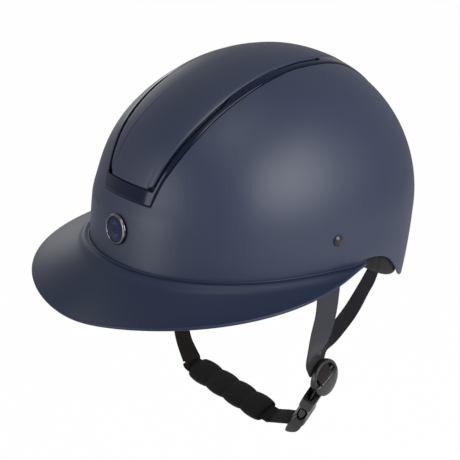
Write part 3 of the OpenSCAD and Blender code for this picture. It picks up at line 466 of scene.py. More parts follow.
class Finish:
    """A material or world built in Python: nodes, mixes of colours, bumps and the surface shader."""

    def __init__(self, name, library=None):
        library = bpy.data.materials if library is None else library
        self.made = library.get(name) or library.new(name)
        self.made.use_nodes = True
        self.tree = self.made.node_tree
        self.tree.nodes.clear()

    def node(self, kind, settings=None, output=0, **values):
        """Any node: its settings first, then values or wires by the socket's name. It gives back one
        output, where the node has any."""
        node = self.tree.nodes.new("ShaderNode" + kind)
        for key, value in (settings or {}).items():
            setattr(node, key, value)
        for key, value in values.items():
            plug(self.tree, node.inputs[key.replace("_", " ")], value)
        return Wire(self.tree, node.outputs[output]) if node.outputs else None

    def ray(self, kind):
        """1 where a ray is of one kind."""
        return self.node("LightPath", output=f"Is {kind} Ray")

    def coords(self, output="Object"):
        """Coordinates on the object, or its UV."""
        return self.node("TexCoord", output=output)

    def noise(self, scale, detail, rough=0.5):
        """Cloudy noise on the object's own coordinates."""
        return self.node("TexNoise", Vector=self.coords(), Scale=scale, Detail=detail, Roughness=rough)

    def cells(self, scale, feature="F1"):
        """Distance to the middle, or to the edge, of irregular cells."""
        return self.node("TexVoronoi", {"feature": feature}, Vector=self.coords(), Scale=scale)

    def tone(self, factor, colour, low, high):
        """A colour between two strengths of itself."""
        return self.mix(factor, rgba(colour, low), rgba(colour, high))

    def mix(self, factor, a, b):
        """Mix of two colours."""
        node = self.tree.nodes.new("ShaderNodeMix")
        node.data_type = "RGBA"
        for slot, value in ((0, factor), (6, a), (7, b)):
            plug(self.tree, node.inputs[slot], value)
        return Wire(self.tree, node.outputs[2])

    def bump(self, height, distance, strength=1.0, normal=None):
        """Bump of a height over a distance in metres, on top of another where one is given."""
        return self.node("Bump", Height=height, Distance=distance, Strength=strength, Normal=normal)

    def surface(self, **values):
        """The surface shader with its sockets set or linked, joined to the output."""
        self.node("OutputMaterial", Surface=self.node("BsdfPrincipled", **values))
        return self.made


def rgba(colour, gain=1.0):
    """Colour with an alpha of 1, made stronger or weaker."""
    return tuple(min(1.0, c * gain) for c in colour[:3]) + (1.0,)


def matte_lacquer(name, colour, shine=0.5):
    """Soft-touch lacquer: fine speckle in the bump and slow changes in tone and gloss."""
    f = Finish(name)
    slow, fine = f.noise(9, 3), f.noise(2600, 2)
    return f.surface(Base_Color=f.tone(slow, colour, 0.93, 1.07),
                     Roughness=0.46 + (slow - 0.5) * 0.05 + (fine - 0.5) * 0.08,
                     Normal=f.bump(fine, 0.00003, 0.35), Specular_IOR_Level=shine)


def gloss_lacquer(name, colour):
    """Piano-gloss lacquer with a faint waviness."""
    f = Finish(name)
    slow = f.noise(60, 2)
    return f.surface(Base_Color=f.tone(slow, colour, 0.9, 1.1), Roughness=0.1 + slow * 0.05,
                     Specular_IOR_Level=0.26, Normal=f.bump(slow, 0.0002, 0.15))


def moulded(name, colour, rough=0.4):
    """Spark-textured moulded plastic, a little polished on its high spots."""
    f = Finish(name)
    grain, slow = f.cells(2200.0), f.noise(120, 3)
    return f.surface(Base_Color=f.tone(slow, colour, 0.85, 1.2), Roughness=rough + (slow - 0.5) * 0.16,
                     Normal=f.bump(grain, 0.00004, 0.4))


def leather(name, colour, rough=0.42, shine=0.5):
    """Smooth coated leather: pebbles, pores and long soft creases."""
    f = Finish(name)
    pebble = f.cells(1500.0, "DISTANCE_TO_EDGE").step(0.0, 0.25)
    crease = f.noise(55, 4, 0.6)
    first = f.bump(pebble, 0.00005, 0.35)
    # The colour follows the crease height: darker in the hollows as painted shade, lighter on the ridges
    # as painted highlight.
    return f.surface(Base_Color=f.tone(crease, colour, 0.8, 1.25), Specular_IOR_Level=shine,
                     Roughness=rough + (crease - 0.5) * 0.22, Normal=f.bump(crease, 0.0006, 0.35, first))


def woven(name, colour):
    """Flat webbing: warp ribs along the strap crossed by weft, on the strap's own UV in metres."""
    f = Finish(name)
    pitch, per_metre = 1.1, 6283.2  # millimetres a rib; turns of a one-millimetre wave on UV in metres
    u, v = (f.node("SeparateXYZ", output=axis, Vector=f.coords("UV")) for axis in (0, 1))
    warp = (u * (per_metre / pitch)).sin()
    weft = (v * (per_metre / (pitch * 0.9)) + warp * 1.4).sin()
    cloth = (warp * 0.5 + weft * 0.5) * 0.5 + 0.5
    fuzz = f.noise(3000, 2)
    # The colour follows the weave's height: darker in the hollows between ribs as painted shade. The
    # fuzz changes the tone at random.
    return f.surface(Base_Color=f.tone(cloth * 0.7 + fuzz * 0.3, colour, 0.45, 1.5),
                     Normal=f.bump(cloth + fuzz * 0.3, 0.00025, 0.8), Specular_IOR_Level=0.3,
                     Roughness=0.85 + (fuzz - 0.5) * 0.1, Sheen_Weight=0.04, Sheen_Roughness=0.5)


def knitted(name, colour, scale=900.0):
    """Brushed knit: small loops under a fine pile."""
    f = Finish(name)
    loops, pile, wear = f.cells(scale), f.noise(3500, 3, 0.7), f.noise(30, 3)
    # The colour is lighter at the middle of each loop and darker between loops, where the bump is low:
    # painted shade. The wear noise changes the tone slowly at random.
    return f.surface(Base_Color=f.tone(loops * 0.6 + wear * 0.4, colour, 1.35, 0.6),
                     Normal=f.bump(pile - loops * 0.8, 0.0004, 0.6), Specular_IOR_Level=0.25,
                     Roughness=0.95 + (wear - 0.5) * 0.08, Sheen_Weight=0.06, Sheen_Roughness=0.6)


def beaded_foam(name, colour):
    """Moulded bead foam: flattened cells with dark joints between them."""
    f = Finish(name)
    joint = f.cells(330.0, "DISTANCE_TO_EDGE").step(0.0, 0.08)
    return f.surface(Base_Color=f.tone(joint, colour, 0.45, 1.1), Roughness=0.72 - joint * 0.08,
                     Normal=f.bump(joint, 0.0003, 0.6))


def wire_mesh(name):
    """Fine black mesh: round holes, sunk by a bump and painted darker than the black sheet as the shade
    behind them.
    """
    f = Finish(name)
    holes = f.cells(900.0).step(0.25, 0.4)
    # The holes are not cut: they are painted darker than the sheet, as painted shade.
    return f.surface(Base_Color=f.mix(holes, rgba((0.001, 0.001, 0.001)), rgba((0.006, 0.006, 0.007))),
                     Roughness=0.5 + holes * 0.2, Normal=f.bump(holes, 0.0004, 0.8))


def enamelled(name, colour):
    """Enamel under a coat: a tone that changes slowly at random, a little metallic."""
    f = Finish(name)
    slow = f.noise(500, 3)
    return f.surface(Base_Color=f.tone(slow, colour, 0.6, 1.5), Roughness=0.22 + slow * 0.1,
                     Metallic=0.35, Coat_Weight=0.2, Coat_Roughness=0.05, Specular_IOR_Level=0.2)


def polished(name, colour, rough):
    """Plated metal with faint turning marks."""
    f = Finish(name)
    marks = f.noise(400, 3)
    return f.surface(Base_Color=f.tone(marks, colour, 0.85, 1.1), Metallic=1.0,
                     Roughness=rough + marks * 0.08)


def dress(obj, material, body, *nodes, slot=None):
    """Gives a piece its finish, its body and the nodes that it stands for; its slot argument is not
    used.
    """
    obj.data.materials.clear()
    obj.data.materials.append(material)
    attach(obj, body)
    if nodes:
        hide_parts(*nodes)
    return obj


def tint(name, things, *value):
    """A colour that a user may change."""
    return FloatVectorProperty(name=name, description="Colour of the " + things, subtype="COLOR",
                               default=value, min=0, max=1)


def measure(name, note, value, low, high):
    """A size in millimetres."""
    return FloatProperty(name=name, description=note + ", in mm", default=value, min=low, max=high)


def watts(name, lamp, value):
    """The power of a lamp."""
    return FloatProperty(name=name, description=f"Power of the {lamp}, in watts", default=value,
                         min=0, max=60)


class HelmetColours(bpy.types.PropertyGroup):
    shell: tint("Shell", "matte lacquer", 0.018, 0.026, 0.058)
    # The brim's colour is a darker copy of the shell's navy lacquer: the extra darkness is painted
    # shade.
    brim: tint("Brim", "brim's lacquer with painted shade", 0.008, 0.0150, 0.041)
    gloss: tint("Vent frame", "gloss frame", 0.0012, 0.0045, 0.022)
    enamel: tint("Badge", "badge's enamel", 0.003, 0.012, 0.055)
    leather: tint("Front straps", "front straps", 0.008, 0.009, 0.016)
    rear_leather: tint("Rear straps", "rear straps", 0.003, 0.003, 0.006)
    webbing: tint("Webbing", "webbing", 0.012, 0.009, 0.008)
    fleece: tint("Chin pad", "chin pad", 0.003, 0.003, 0.003)
    plastic: tint("Plastics", "buckle's and adjusters' plastic", 0.012, 0.012, 0.014)
    pads: tint("Pads", "comfort pads", 0.010, 0.013, 0.012)


class HelmetSizes(bpy.types.PropertyGroup):
    shell_rows: IntProperty(name="Shell rows", description="Rows of faces up the shell's wall",
                            default=44, min=12, max=80)
    bead: measure("Seam bead", "Radius of the bead along the brim's seam", 0.5, 0.3, 1.2)
    shoulder: measure("Brim shoulder", "Height of the soft shoulder below the seam", 2.3, 0, 3)
    chamfer: measure("Frame chamfer", "Width of the vent frame's outer chamfer", 1.3, 0.6, 2.0)


class StudioSettings(bpy.types.PropertyGroup):
    key: watts("Key", "broad key light", 27.5)
    fill: watts("Fill", "fill light", 11.0)
    rim: watts("Rim", "light behind", 2.6)
    top: watts("Top", "overhead light", 4.8)
    world: FloatProperty(name="World", description="Strength of the even light all round",
                         default=0.3, min=0, max=2)
    floor_z: FloatProperty(name="Floor", description="Height of the floor, in metres", default=-0.36,
                           subtype="DISTANCE", unit="LENGTH", min=-1, max=-0.13)


def lacquer(scene):
    """The shell's finish, which the panel shares."""
    return matte_lacquer("Matte_navy_lacquer", scene.helmet_colours.shell)


class HELMET_OT_shell(bpy.types.Operator):
    """Outer shell: wall, sunk bed for the vent frame, vents and rolled rim"""

    bl_idname = "helmet.shell"
    bl_label = "Shell"

    def execute(self, context):
        roll, soft, turn = 0.35, 0.08, 0.8
        centre, outline, low = vent_in_t(PHI), edge_t(PHI, 0, 0), angle_at(rim_drop(PHI))
        top, inner_top = edge_t(PHI, -0.5, -0.5), edge_t(PHI, -WALL, -WALL)
        cap = between(centre, 90, RECESS, np.linspace(0.94, 0.03, 9))
        bed = [(centre, RECESS), (vent_out_t(PHI), RECESS)]
        step_out = [(edge_t(PHI, 0.25, 0.25), RECESS), (outline, RECESS - 0.25), (outline, 0.5),
                    (edge_t(PHI, -0.12, -0.12), 0.14), (top, 0.0)]
        step_in = [(inner_top, RECESS)] * 3 + [(inner_top, 0.0)] * 2
        shares = np.linspace(0.985, 0, context.scene.helmet_sizes.shell_rows)
        lip = [(low + soft, 0.25), (low, turn), (low, WALL - turn), (low + soft, WALL - 0.25)]
        outer = cap + bed + step_out + between(low + roll, top, 0.0, shares) + lip
        inner = cap + bed + step_in + between(low + roll, inner_top, 0.0, shares)
        points = on_section(outer + [(t, d + WALL) for t, d in inner[::-1]])
        n, last, row, f = len(PHI), len(points) - 1, len(cap), fold(PHI)
        inside = (((f >= FRONT_SPAN[0]) & (f <= FRONT_SPAN[1]))
                  | ((f >= REAR_SPAN[0]) & (f <= REAR_SPAN[1])))
        opened = inside & np.roll(inside, -1)
        skip = np.zeros((last, n), bool)
        skip[row], skip[last - row - 1] = opened, opened
        obj = grid_object("Outer_wall", points, skip=skip)
        j = np.flatnonzero(opened)
        k = (j + 1) % n
        first, end = j[~opened[j - 1]], k[~opened[k]]
        b_out, a_out, a_in, b_in = row * n, (row + 1) * n, (last - row - 1) * n, (last - row) * n
        sides = [(a_out + j, a_out + k, a_in + k, a_in + j), (b_out + k, b_out + j, b_in + j, b_in + k),
                 (b_out + first, a_out + first, a_in + first, b_in + first),
                 (a_out + end, b_out + end, b_in + end, a_in + end)]
        obj = add_faces(obj, np.concatenate([np.stack(side, -1) for side in sides]))
        dress(obj, lacquer(context.scene), "helmet", "outer_shell", slot="navy_matte")
        return {"FINISHED"}


def add_faces(obj, faces):
    """Adds four-sided faces between points that a mesh already has, then turns all of them alike."""
    bm = bmesh.new()
    bm.from_mesh(obj.data)
    bm.verts.ensure_lookup_table()
    for f in faces.tolist():
        bm.faces.new([bm.verts[i] for i in f]).smooth = True
    bmesh.ops.recalc_face_normals(bm, faces=bm.faces)
    bm.to_mesh(obj.data)
    bm.free()
    return outward(obj)


def sweep(phi):
    """Share of the brim's sweep that an azimuth has reached, eased to a level start at the front."""
    q = np.minimum(1, fold(phi) / BRIM_SWEEP)
    return q * np.tanh(q / 0.12)


def brim_width(phi):
    """Reach of the brim: a superellipse over its sweep, with a small bulge half way along."""
    q = sweep(phi)
    return BRIM_WIDTH * (1 - q ** BRIM_POWER) ** BRIM_END + BRIM_SIDE * 4 * q * (1 - q)


def outwards(phi):
    """Level direction away from the head at an azimuth."""
    a = np.radians(phi)
    return together(np.sin(a), -np.cos(a), 0 * a)


def seam(phi):
    """Points of the brim's seam, just off the shell's outer face."""
    return on_shell(phi, angle_at(seam_drop(phi)), -BRIM_OVER)


def brim_point(phi, s, shoulder):
    """Brim surface: out from the seam by width times s, down by fall times a curl of s, with a soft
    shoulder that keeps the first few millimetres high before the surface turns down."""
    q, width = sweep(phi), brim_width(phi)
    fall = BRIM_FALL * (1 - q ** 3) ** BRIM_END - BRIM_LIFT * 4 * q * (1 - q)
    curl = 0.45 * (1 - (1 - s) ** 1.5) + 0.55 * s
    reach, middle, spread_out = width * s, 5.0, 3.2
    hump = shoulder * np.minimum(1, width / 20) * np.exp(-((reach - middle) / spread_out) ** 2)
    return seam(phi) + outwards(phi) * reach[..., None] + UP * (hump - fall * curl)[..., None]


class HELMET_OT_brim(bpy.types.Operator):
    """Wide brim with a bead along its seam, a soft shoulder and a thin rolled edge"""

    bl_idname = "helmet.brim"
    bl_label = "Brim"

    def execute(self, context):
        sizes = context.scene.helmet_sizes
        half = np.concatenate([np.linspace(0, 96, 97), np.linspace(96.4, 104.2, 20)])
        phi = np.concatenate([-half[:0:-1], half])
        width, out, line = brim_width(phi), outwards(phi), seam(phi)
        bead = sizes.bead * np.minimum(1, width / 6)
        rows = [line + out * ((1 + np.cos(r)) * bead)[:, None] + UP * (np.sin(r) * bead)[:, None]
                for r in np.radians(np.linspace(150, -10, 9))]
        near = np.minimum(0.3, 2.4 * sizes.bead / np.maximum(width, 1))
        rows += [brim_point(phi, near + (1 - near) * v, sizes.shoulder)
                 for v in np.concatenate([np.linspace(0, 0.25, 12), np.linspace(0.3, 0.985, 26)])]
        edge, roll, bulge = brim_point(phi, np.ones_like(phi), 0), BRIM_EDGE * 0.42, 0.9
        rows += [edge - UP * roll + out * (np.cos(r) * bulge) * np.minimum(1, width / 3)[:, None]
                 + UP * np.sin(r) * roll for r in np.radians(np.linspace(70, -90, 9))]
        low = on_shell(phi, angle_at(rim_drop(phi) - 1), -BRIM_OVER)
        root = (line - low)[:, 2] - BRIM_EDGE
        rows += [brim_point(phi, np.full_like(phi, s), 0)
                 - UP * (BRIM_EDGE + root * (1 - s) ** 2.5)[:, None] for s in np.linspace(0.97, 0.1, 16)]
        obj = grid_object("Brim", np.stack(rows + [low], 1))
        # The brim gets the shell's lacquer at a darker colour, and that darker colour is painted shade.
        finish = matte_lacquer("Matte_navy_brim_painted_shade", context.scene.helmet_colours.brim, shine=0.38)
        dress(obj, finish, "helmet", "brim", slot="navy_matte")
        return {"FINISHED"}


class HELMET_OT_vent_frame(bpy.types.Operator):
    """Gloss vent frame with a chamfer along its outer edge"""

    bl_idname = "helmet.vent_frame"
    bl_label = "Vent frame"

    def execute(self, context):
        c, bed = context.scene.helmet_sizes.chamfer, RECESS - 0.25

        def line(inset):
            """Elevation angle of a line inside the frame's outer edge."""
            return edge_t(PHI, JOINT + inset, JOINT + inset)

        def lip(wider):
            """Elevation angle of a line outside the frame's inner edge."""
            return edge_t(PHI, band(PHI) - JOINT - vent(PHI) - wider, BAR_WIDTH - wider)

        start, top = line(c * 1.15), -FRAME_PROUD
        section = [(line(0), bed), (line(0), 0.15), (line(0.05), -0.08), (line(0.25), -0.28),
                   (line(c * 0.7), top + 0.1), (line(c * 0.9), top + 0.02), (start, top)]
        section += between(start, lip(0.9), top, (0.33, 0.66, 1))
        section += [(lip(0.45), top + 0.04), (lip(0.15), top + 0.18), (lip(0), top + 0.5), (lip(0), 0.3),
                    (lip(0), bed)]
        obj = grid_object("Vent_frame", on_section(section), wrap_rows=True)
        gloss = gloss_lacquer("Gloss_navy", context.scene.helmet_colours.gloss)
        dress(obj, gloss, "helmet", "vent_trim", slot="navy_gloss")
        return {"FINISHED"}


class HELMET_OT_panel(bpy.types.Operator):
    """Raised centre panel inside the vent frame"""

    bl_idname = "helmet.panel"
    bl_label = "Centre panel"

    def execute(self, context):
        under = RECESS - 0.6

        def edge(inset):
            """Elevation angle of a line inside the panel's edge."""
            return edge_t(PHI, band(PHI) + inset, BAR_WIDTH + JOINT + inset)

        top, low = edge(4), edge(0.8)
        section = between(top, 90, -PANEL_PROUD, np.linspace(0.985, 0.01, 46))
        section += [(edge(inset), depth - PANEL_PROUD) for inset, depth in (
            (3, 0.02), (2, 0.1), (1.2, 0.32), (0.6, 0.66), (0.2, 1.15), (0, 1.7))]
        section += [(edge(0), 1.4), (edge(0.1), RECESS - 0.75), (edge(0.4), under)]
        section += between(low, 90, under, np.linspace(0, 0.96, 10))
        obj = grid_object("Centre_panel", on_section(section))
        dress(obj, lacquer(context.scene), "helmet", "centre_panel", slot="navy_matte")
        return {"FINISHED"}


def level_t(phi, z, d):
    """Elevation angle at which the surface d under the outer face reaches a height: halving steps."""
    low, high = np.full(len(phi), -60.0), np.full(len(phi), 89.9)
    for _ in range(30):
        mid = (low + high) / 2
        under = on_shell(phi, mid, d)[:, 2] < z
        low, high = np.where(under, mid, low), np.where(under, high, mid)
    return (low + high) / 2


class HELMET_OT_vent_mesh(bpy.types.Operator):
    """Dark mesh strips behind the four long vents"""

    bl_idname = "helmet.vent_mesh"
    bl_label = "Vent mesh"

    def execute(self, context):
        inset, end, near, far = 0.12, 0.15, RECESS + 0.95, RECESS + 1.7
        strips, shares = [], np.linspace(0, 1, 5)
        for side in (1, -1):
            for span in (FRONT_SPAN, REAR_SPAN):
                phi = side * np.linspace(span[0] + end, span[1] - end, 90)
                low = edge_t(phi, band(phi) - JOINT - vent(phi) + inset, BAR_WIDTH + inset)
                high = edge_t(phi, band(phi) + JOINT - inset, BAR_WIDTH + 2 * JOINT + inset)
                high = np.maximum(low + 0.02, high)
                section = between(low, high, near, shares) + between(low, high, far, shares[::-1])
                strips.append(grid_object("strip", on_section(section, phi, 1)))
        mesh = joined("Vent_mesh", strips)
        dress(mesh, wire_mesh("Black_mesh"), "helmet", "vent_grilles", slot="mesh_black")
        return {"FINISHED"}


def joined(name, objects):
    """One object from several, each closed on its own."""
    bm = bmesh.new()
    for obj in objects:
        bm.from_mesh(obj.data)
    first = objects[0]
    bm.to_mesh(first.data)
    bm.free()
    for obj in objects[1:]:
        bpy.data.objects.remove(obj)
    first.name = first.data.name = name
    return first


def sunk(phi, t):
    """How much deeper the liner's outside lies over straps, rivets and the badge's clip."""
    f, strap_room, clip_room = fold(phi), 6.0, 3.2
    sides = strap_room * smooth((f - 66) / 6) * smooth((112 - f) / 8) * smooth((14 - t) / 8)
    return sides + clip_room * smooth((9 - f) / 3) * smooth((8 - np.abs(t - BADGE_T)) / 4)


def channel(points):
    """Depth of the air channels in the liner: three grooves from brow to nape and one across."""
    x, y, z = np.moveaxis(points, -1, 0)
    deep, half, apart = 3.5, 4.5, 21
    lanes = np.exp(-((np.abs(np.abs(x) - apart) - apart) / half) ** 4) * (z > 30)
    cross = np.exp(-((y - 12) / 5) ** 4) * smooth((z - 60) / 20)
    return deep * np.maximum(lanes, cross)


class HELMET_OT_liner(bpy.types.Operator):
    """Foam liner in two mouldings, a ring and a cap, with air channels inside"""

    bl_idname = "helmet.liner"
    bl_label = "Liner"

    def execute(self, context):
        phi = np.linspace(0, 360, 181)[:-1]
        clear, roof = WALL + 1.0, RECESS + WALL + 1.4
        bed, edge = edge_t(phi, -WALL - 0.8, -WALL - 0.8), angle_at(liner_drop(phi))

        def outer(start, end, shares):
            """Outside: under the wall, deeper under the sunk bed, straps and rivets."""
            return [(t, np.where(t > bed, roof, clear) + sunk(phi, t))
                    for t, _ in between(start, end, 0, shares)]

        def inner(start, end, shares):
            """Inside: raised into the air channels."""
            return [(t, d - channel(on_shell(phi, t, d)))
                    for t, d in between(start, end, LINER_DEPTH, shares)]

        def split(z):
            """Elevation angles of the two faces at a height."""
            return level_t(phi, z, clear), level_t(phi, z, LINER_DEPTH)

        foam = beaded_foam("Bead_foam", (0.022, 0.022, 0.024))
        out, into = split(LINER_SPLIT)
        k = np.linspace(0, 1, 26)
        ring = on_section(outer(edge, out, k) + inner(edge, into, k[::-1]), phi)
        ring = grid_object("Liner_ring", ring, wrap_rows=True)
        dress(ring, foam, "helmet", "impact_liner", slot="foam")
        out, into = split(LINER_SPLIT + LINER_JOINT)
        cap = outer(out, 90, np.linspace(0.985, 0, 24)) + inner(into, 90, np.linspace(0, 0.985, 30))
        cap = grid_object("Liner_cap", on_section(cap, phi))
        dress(cap, foam, "helmet", "crown_liner", slot="foam")
        return {"FINISHED"}


def band_pad(name, phi, low, high, near, thick, quilt, fold_in=0.3):
    """Padded band inside the shell: a squared-off oval section between two elevation angles and two
    depths, carried round the azimuths; it thins to a seam at each quilting line and bulges between."""
    phi, low, high, thick = (v[:, None] for v in (phi, low, high, thick))
    cos, sin = circle(40)
    seams = np.min(np.abs(phi - np.asarray(quilt)[None]), 1, keepdims=True)
    full = 1 - fold_in * np.exp(-(seams / 1.1) ** 2) + 0.05 * np.cos(seams * 0.4)
    t = (low + high) / 2 + (high - low) / 2 * spread(sin)
    d = near + thick / 2 - thick / 2 * full * spread(cos)
    return grid_object(name, on_shell(phi, t, d))


class HELMET_OT_pads(bpy.types.Operator):
    """Comfort pads at crown, brow and nape: knitted covers over foam, sewn in channels"""

    bl_idname = "helmet.pads"
    bl_label = "Comfort pads"

    def execute(self, context):
        cloth = knitted("Pad_knit", context.scene.helmet_colours.pads)
        near, thick, petals = LINER_DEPTH + 1.3, 6, 6
        around = np.linspace(0, 360, 145)[:-1]
        seams = 0.09 * np.cos(np.radians(around * petals)) ** 8
        profile = [(90, 0), (75, 0.02), (63, 0.12), (62, 0.5), (63, 0.88), (75, 1), (90, 1)]
        section = [(min(t, 89.2), near + thick * (share - seams * smooth((90 - t) / 8) * (share > 0.5)))
                   for t, share in rounded(profile, 3, 7)[1:-1]]
        crown = grid_object("Top_pad", on_section(section, around))
        dress(crown, cloth, "helmet", "crown_pad", slot="pad_fabric")
        reach, height = 96, 26
        phi = np.linspace(-reach, reach, 260)
        low = angle_at(rim_drop(phi) - LINER_SETBACK - 2)
        end = 1 - 0.5 * (np.abs(phi) / reach) ** 6
        brow = band_pad("Brow_pad", phi, low, low + height, near, thick * end, np.arange(-84, 85, 24))
        dress(brow, cloth, "helmet", "brow_pad", slot="pad_fabric")
        phi, quilt = np.linspace(102, 258, 260), [116, 132, 150, 180, 210, 228, 244]
        f = fold(phi)
        low = angle_at(30 + 25 * smooth((np.maximum(0, f - 101) / 45) ** 0.7))
        high = angle_at(np.full_like(phi, NOTCH_DROP - LINER_SETBACK + 0.8))
        thick = 5 + 10 * smooth((f - 136) / 20)
        nape = band_pad("Nape_pad", phi, low, high, WALL + 1, thick, quilt, 0.22)
        cloth = knitted("Nape_knit", (0.0020, 0.0020, 0.0020))
        dress(nape, cloth, "helmet", "nape_pad", slot="pad_fabric")
        return {"FINISHED"}


class HELMET_OT_badge(bpy.types.Operator):
    """Brow badge: dark chrome ring with a stepped rim round a domed enamel face with fine rays"""

    bl_idname = "helmet.badge"
    bl_label = "Badge"

    def execute(self, context):
        lean, seat, centre = TILT - BADGE_LEAN, on_shell(0, BADGE_T, 0), 0.02
        axes = (arr(1, 0, 0), arr(0, np.sin(lean), np.cos(lean)), arr(0, -np.cos(lean), np.sin(lean)))
        section = [(centre, 0.35), (11.4, 0.35), (12.0, 0.7), (12.0, 1.6), (11.4, 2.45), (10.5, 2.7),
                   (10.1, 2.6), (9.9, 2.2), (9.8, 1.4), (centre, 1.4)]
        ring = lathe("Badge_ring", rounded(section, 0.45, 6), seat, axes, n=128)
        section = [(centre, -5.4), (1.5, -5.4), (1.5, 0.3), (centre, 0.3)]
        post = lathe("post", rounded(section, 0.3), seat, axes, n=32)
        chrome = polished("Dark_chrome", (0.17, 0.16, 0.155), 0.14)
        dress(joined("Badge_ring", [ring, post]), chrome, "helmet", "badge_ring", slot="badge_chrome")
        radius, rays, foot = 9.72, 36, 1.42
        a = np.linspace(0, 2 * np.pi, 288, endpoint=False)
        r = np.linspace(radius, 0.05, 40)[:, None]
        dome = 2.05 + 0.42 * (1 - (r / radius) ** 2)
        for line in (9.0, 3.0):
            dome = dome + 0.10 * np.exp(-((r - line) / 0.18) ** 2)
        relief = 0.05 * np.cos(rays * a)[None] * (smooth((r - 3.4) / 0.5) * smooth((8.6 - r) / 0.5))
        top = together(r * np.cos(a), r * np.sin(a), dome + relief)
        under = together(r * np.cos(a), r * np.sin(a), foot)
        face = grid_object("Badge_face", place(np.concatenate([under[::-1], top]), seat, axes))
        enamel = enamelled("Blue_enamel", context.scene.helmet_colours.enamel)
        dress(face, enamel, "helmet", "badge_face", slot="badge_blue")
        return {"FINISHED"}


class HELMET_OT_rivets(bpy.types.Operator):
    """Side rivets with domed heads, and finishes for washers, clip and anchor blocks"""

    bl_idname = "helmet.rivets"
    bl_label = "Rivets and small fittings"

    def execute(self, context):
        head = [(0.02, 2.3), (1.6, 2.12), (3.0, 1.6), (3.9, 0.95), (4.15, 0.85), (4.5, 0.75), (4.5, 0.2),
                (2.5, 0.15), (2.5, -7.6), (4, -7.65), (4, -8.7), (0.02, -8.7)]
        pieces = []
        for side in (1, -1):
            at = arr(side * SHELL_HALF, RIVET_Y, RIVET_Z)
            axes = (LEVEL, UP * side, arr(side, 0, 0))
            pieces.append(lathe("rivet", rounded(head, 0.35, 6), at, axes, n=64))
        black = moulded("Rivet_black", (0.010, 0.010, 0.012), 0.28)
        dress(joined("Side_rivets", pieces), black, "helmet", "side_rivets", slot="rivet_black")
        steel = polished("Washer_steel", (0.6, 0.6, 0.6), 0.25)
        fitting = moulded("Fitting_plastic", context.scene.helmet_colours.plastic)
        for node, material in (("rivet_washers", steel), ("badge_clip", fitting),
                               ("rear_anchors", fitting)):
            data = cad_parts[node].data
            data.materials.clear()
            data.materials.append(material)
        return {"FINISHED"}


# Paths of the wearer's left V straps: places along the middle, and the direction across each.
FRONT_PATH = arr([STRAP_X, RIVET_Y, RIVET_Z + 9], [STRAP_X, RIVET_Y, RIVET_Z - 7], [102.2, -2, 39],
                 [99.6, -0.8, 28], [97, 0, 19], FRONT_BEND, [96, -2.4, -10], [95.4, -7, -26],
                 [94.2, -13, -42], [91.4, -9.6, -50.5], [90.4, -6.4, -57])
FRONT_LOW, REAR_LOW = ADJ_SIDE * 0.9 + ADJ_UP * 0.44, ADJ_SIDE * 0.95 + ADJ_UP * 0.2
FRONT_ACROSS = arr(*[LEVEL] * 3, *[BEND_LINE] * 3, LEVEL, [0, 1, 0.2], *[FRONT_LOW] * 3)
ANCHOR_TOP = on_shell(124, angle_at(liner_drop(124)), 12.4)
ANCHOR_UP = arr(0, np.sin(TILT), np.cos(TILT))
ANCHOR_OUT = unit(np.cross(on_shell(126, 0, 0) - on_shell(122, 0, 0), ANCHOR_UP))
ANCHOR_SIDE = np.cross(ANCHOR_UP, ANCHOR_OUT)
REAR_PATH = arr(ANCHOR_TOP - ANCHOR_UP * 1.35, ANCHOR_TOP - ANCHOR_UP * 6.35, [89, 59, 19], REAR_BEND,
                [90, 43, -3], [89.6, 30, -18.5], [88.4, 14, -33], [87.2, 3, -44], [87.2, -2, -52])
REAR_ACROSS = arr(ANCHOR_SIDE, ANCHOR_SIDE, [-0.35, 0.9, -0.3], [-0.12, 0.8, -0.57], [-0.1, 0.8, -0.6],
                  [0, 0.8, -0.6], [0, 0.85, -0.5], REAR_LOW, REAR_LOW)


class HELMET_OT_straps(bpy.types.Operator):
    """The two V straps of each side: coated leather with a pressed line beside each edge"""

    bl_idname = "helmet.straps"
    bl_label = "V straps"

    def execute(self, context):
        colours = context.scene.helmet_colours
        hide = leather("Strap_leather", colours.leather)
        webbing = woven("Strap_end_webbing", colours.webbing)
        black = leather("Rear_strap_leather", colours.rear_leather, 0.5, 0.14)
        wide = np.linspace(FRONT_WIDE, FRONT_NARROW, len(FRONT_PATH))
        narrow = np.full(len(REAR_PATH), REAR_WIDE)
        level = FRONT_ACROSS.copy()
        level[3:6] = LEVEL
        left = ribbon("Left_front_strap", FRONT_PATH, level, wide, STRAP_T, 14)
        dress(left, hide, "helmet", "left_front_strap", slot="strap_leather")
        tail(left, webbing)
        left = ribbon("Left_rear_strap", REAR_PATH, REAR_ACROSS, narrow, STRAP_T, 14)
        dress(left, black, "helmet", "left_rear_strap", slot="strap_leather")
        for name, path, across, width, finish, nodes in (
                ("Right_front_strap", FRONT_PATH, FRONT_ACROSS, wide, hide,
                 ("right_front_strap", "right_strap_anchors")),
                ("Right_rear_strap", REAR_PATH, REAR_ACROSS, narrow, black, ("right_rear_strap",))):
            piece = ribbon(name, path * MIRROR, across * MIRROR, width, STRAP_T, 18)
            piece.data.materials.append(finish)
            if path is FRONT_PATH:
                tail(piece, webbing)
            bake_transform(piece)
            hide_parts(*nodes)
        return {"FINISHED"}


def tail(obj, material):
    """Gives the faces of a strap under one height the finish of its webbing end."""
    obj.data.materials.append(material)
    z = np.empty(len(obj.data.polygons) * 3)
    obj.data.polygons.foreach_get("center", z)
    obj.data.polygons.foreach_set("material_index", (z[2::3] < WEBBING_BELOW * MM).astype(np.int32))


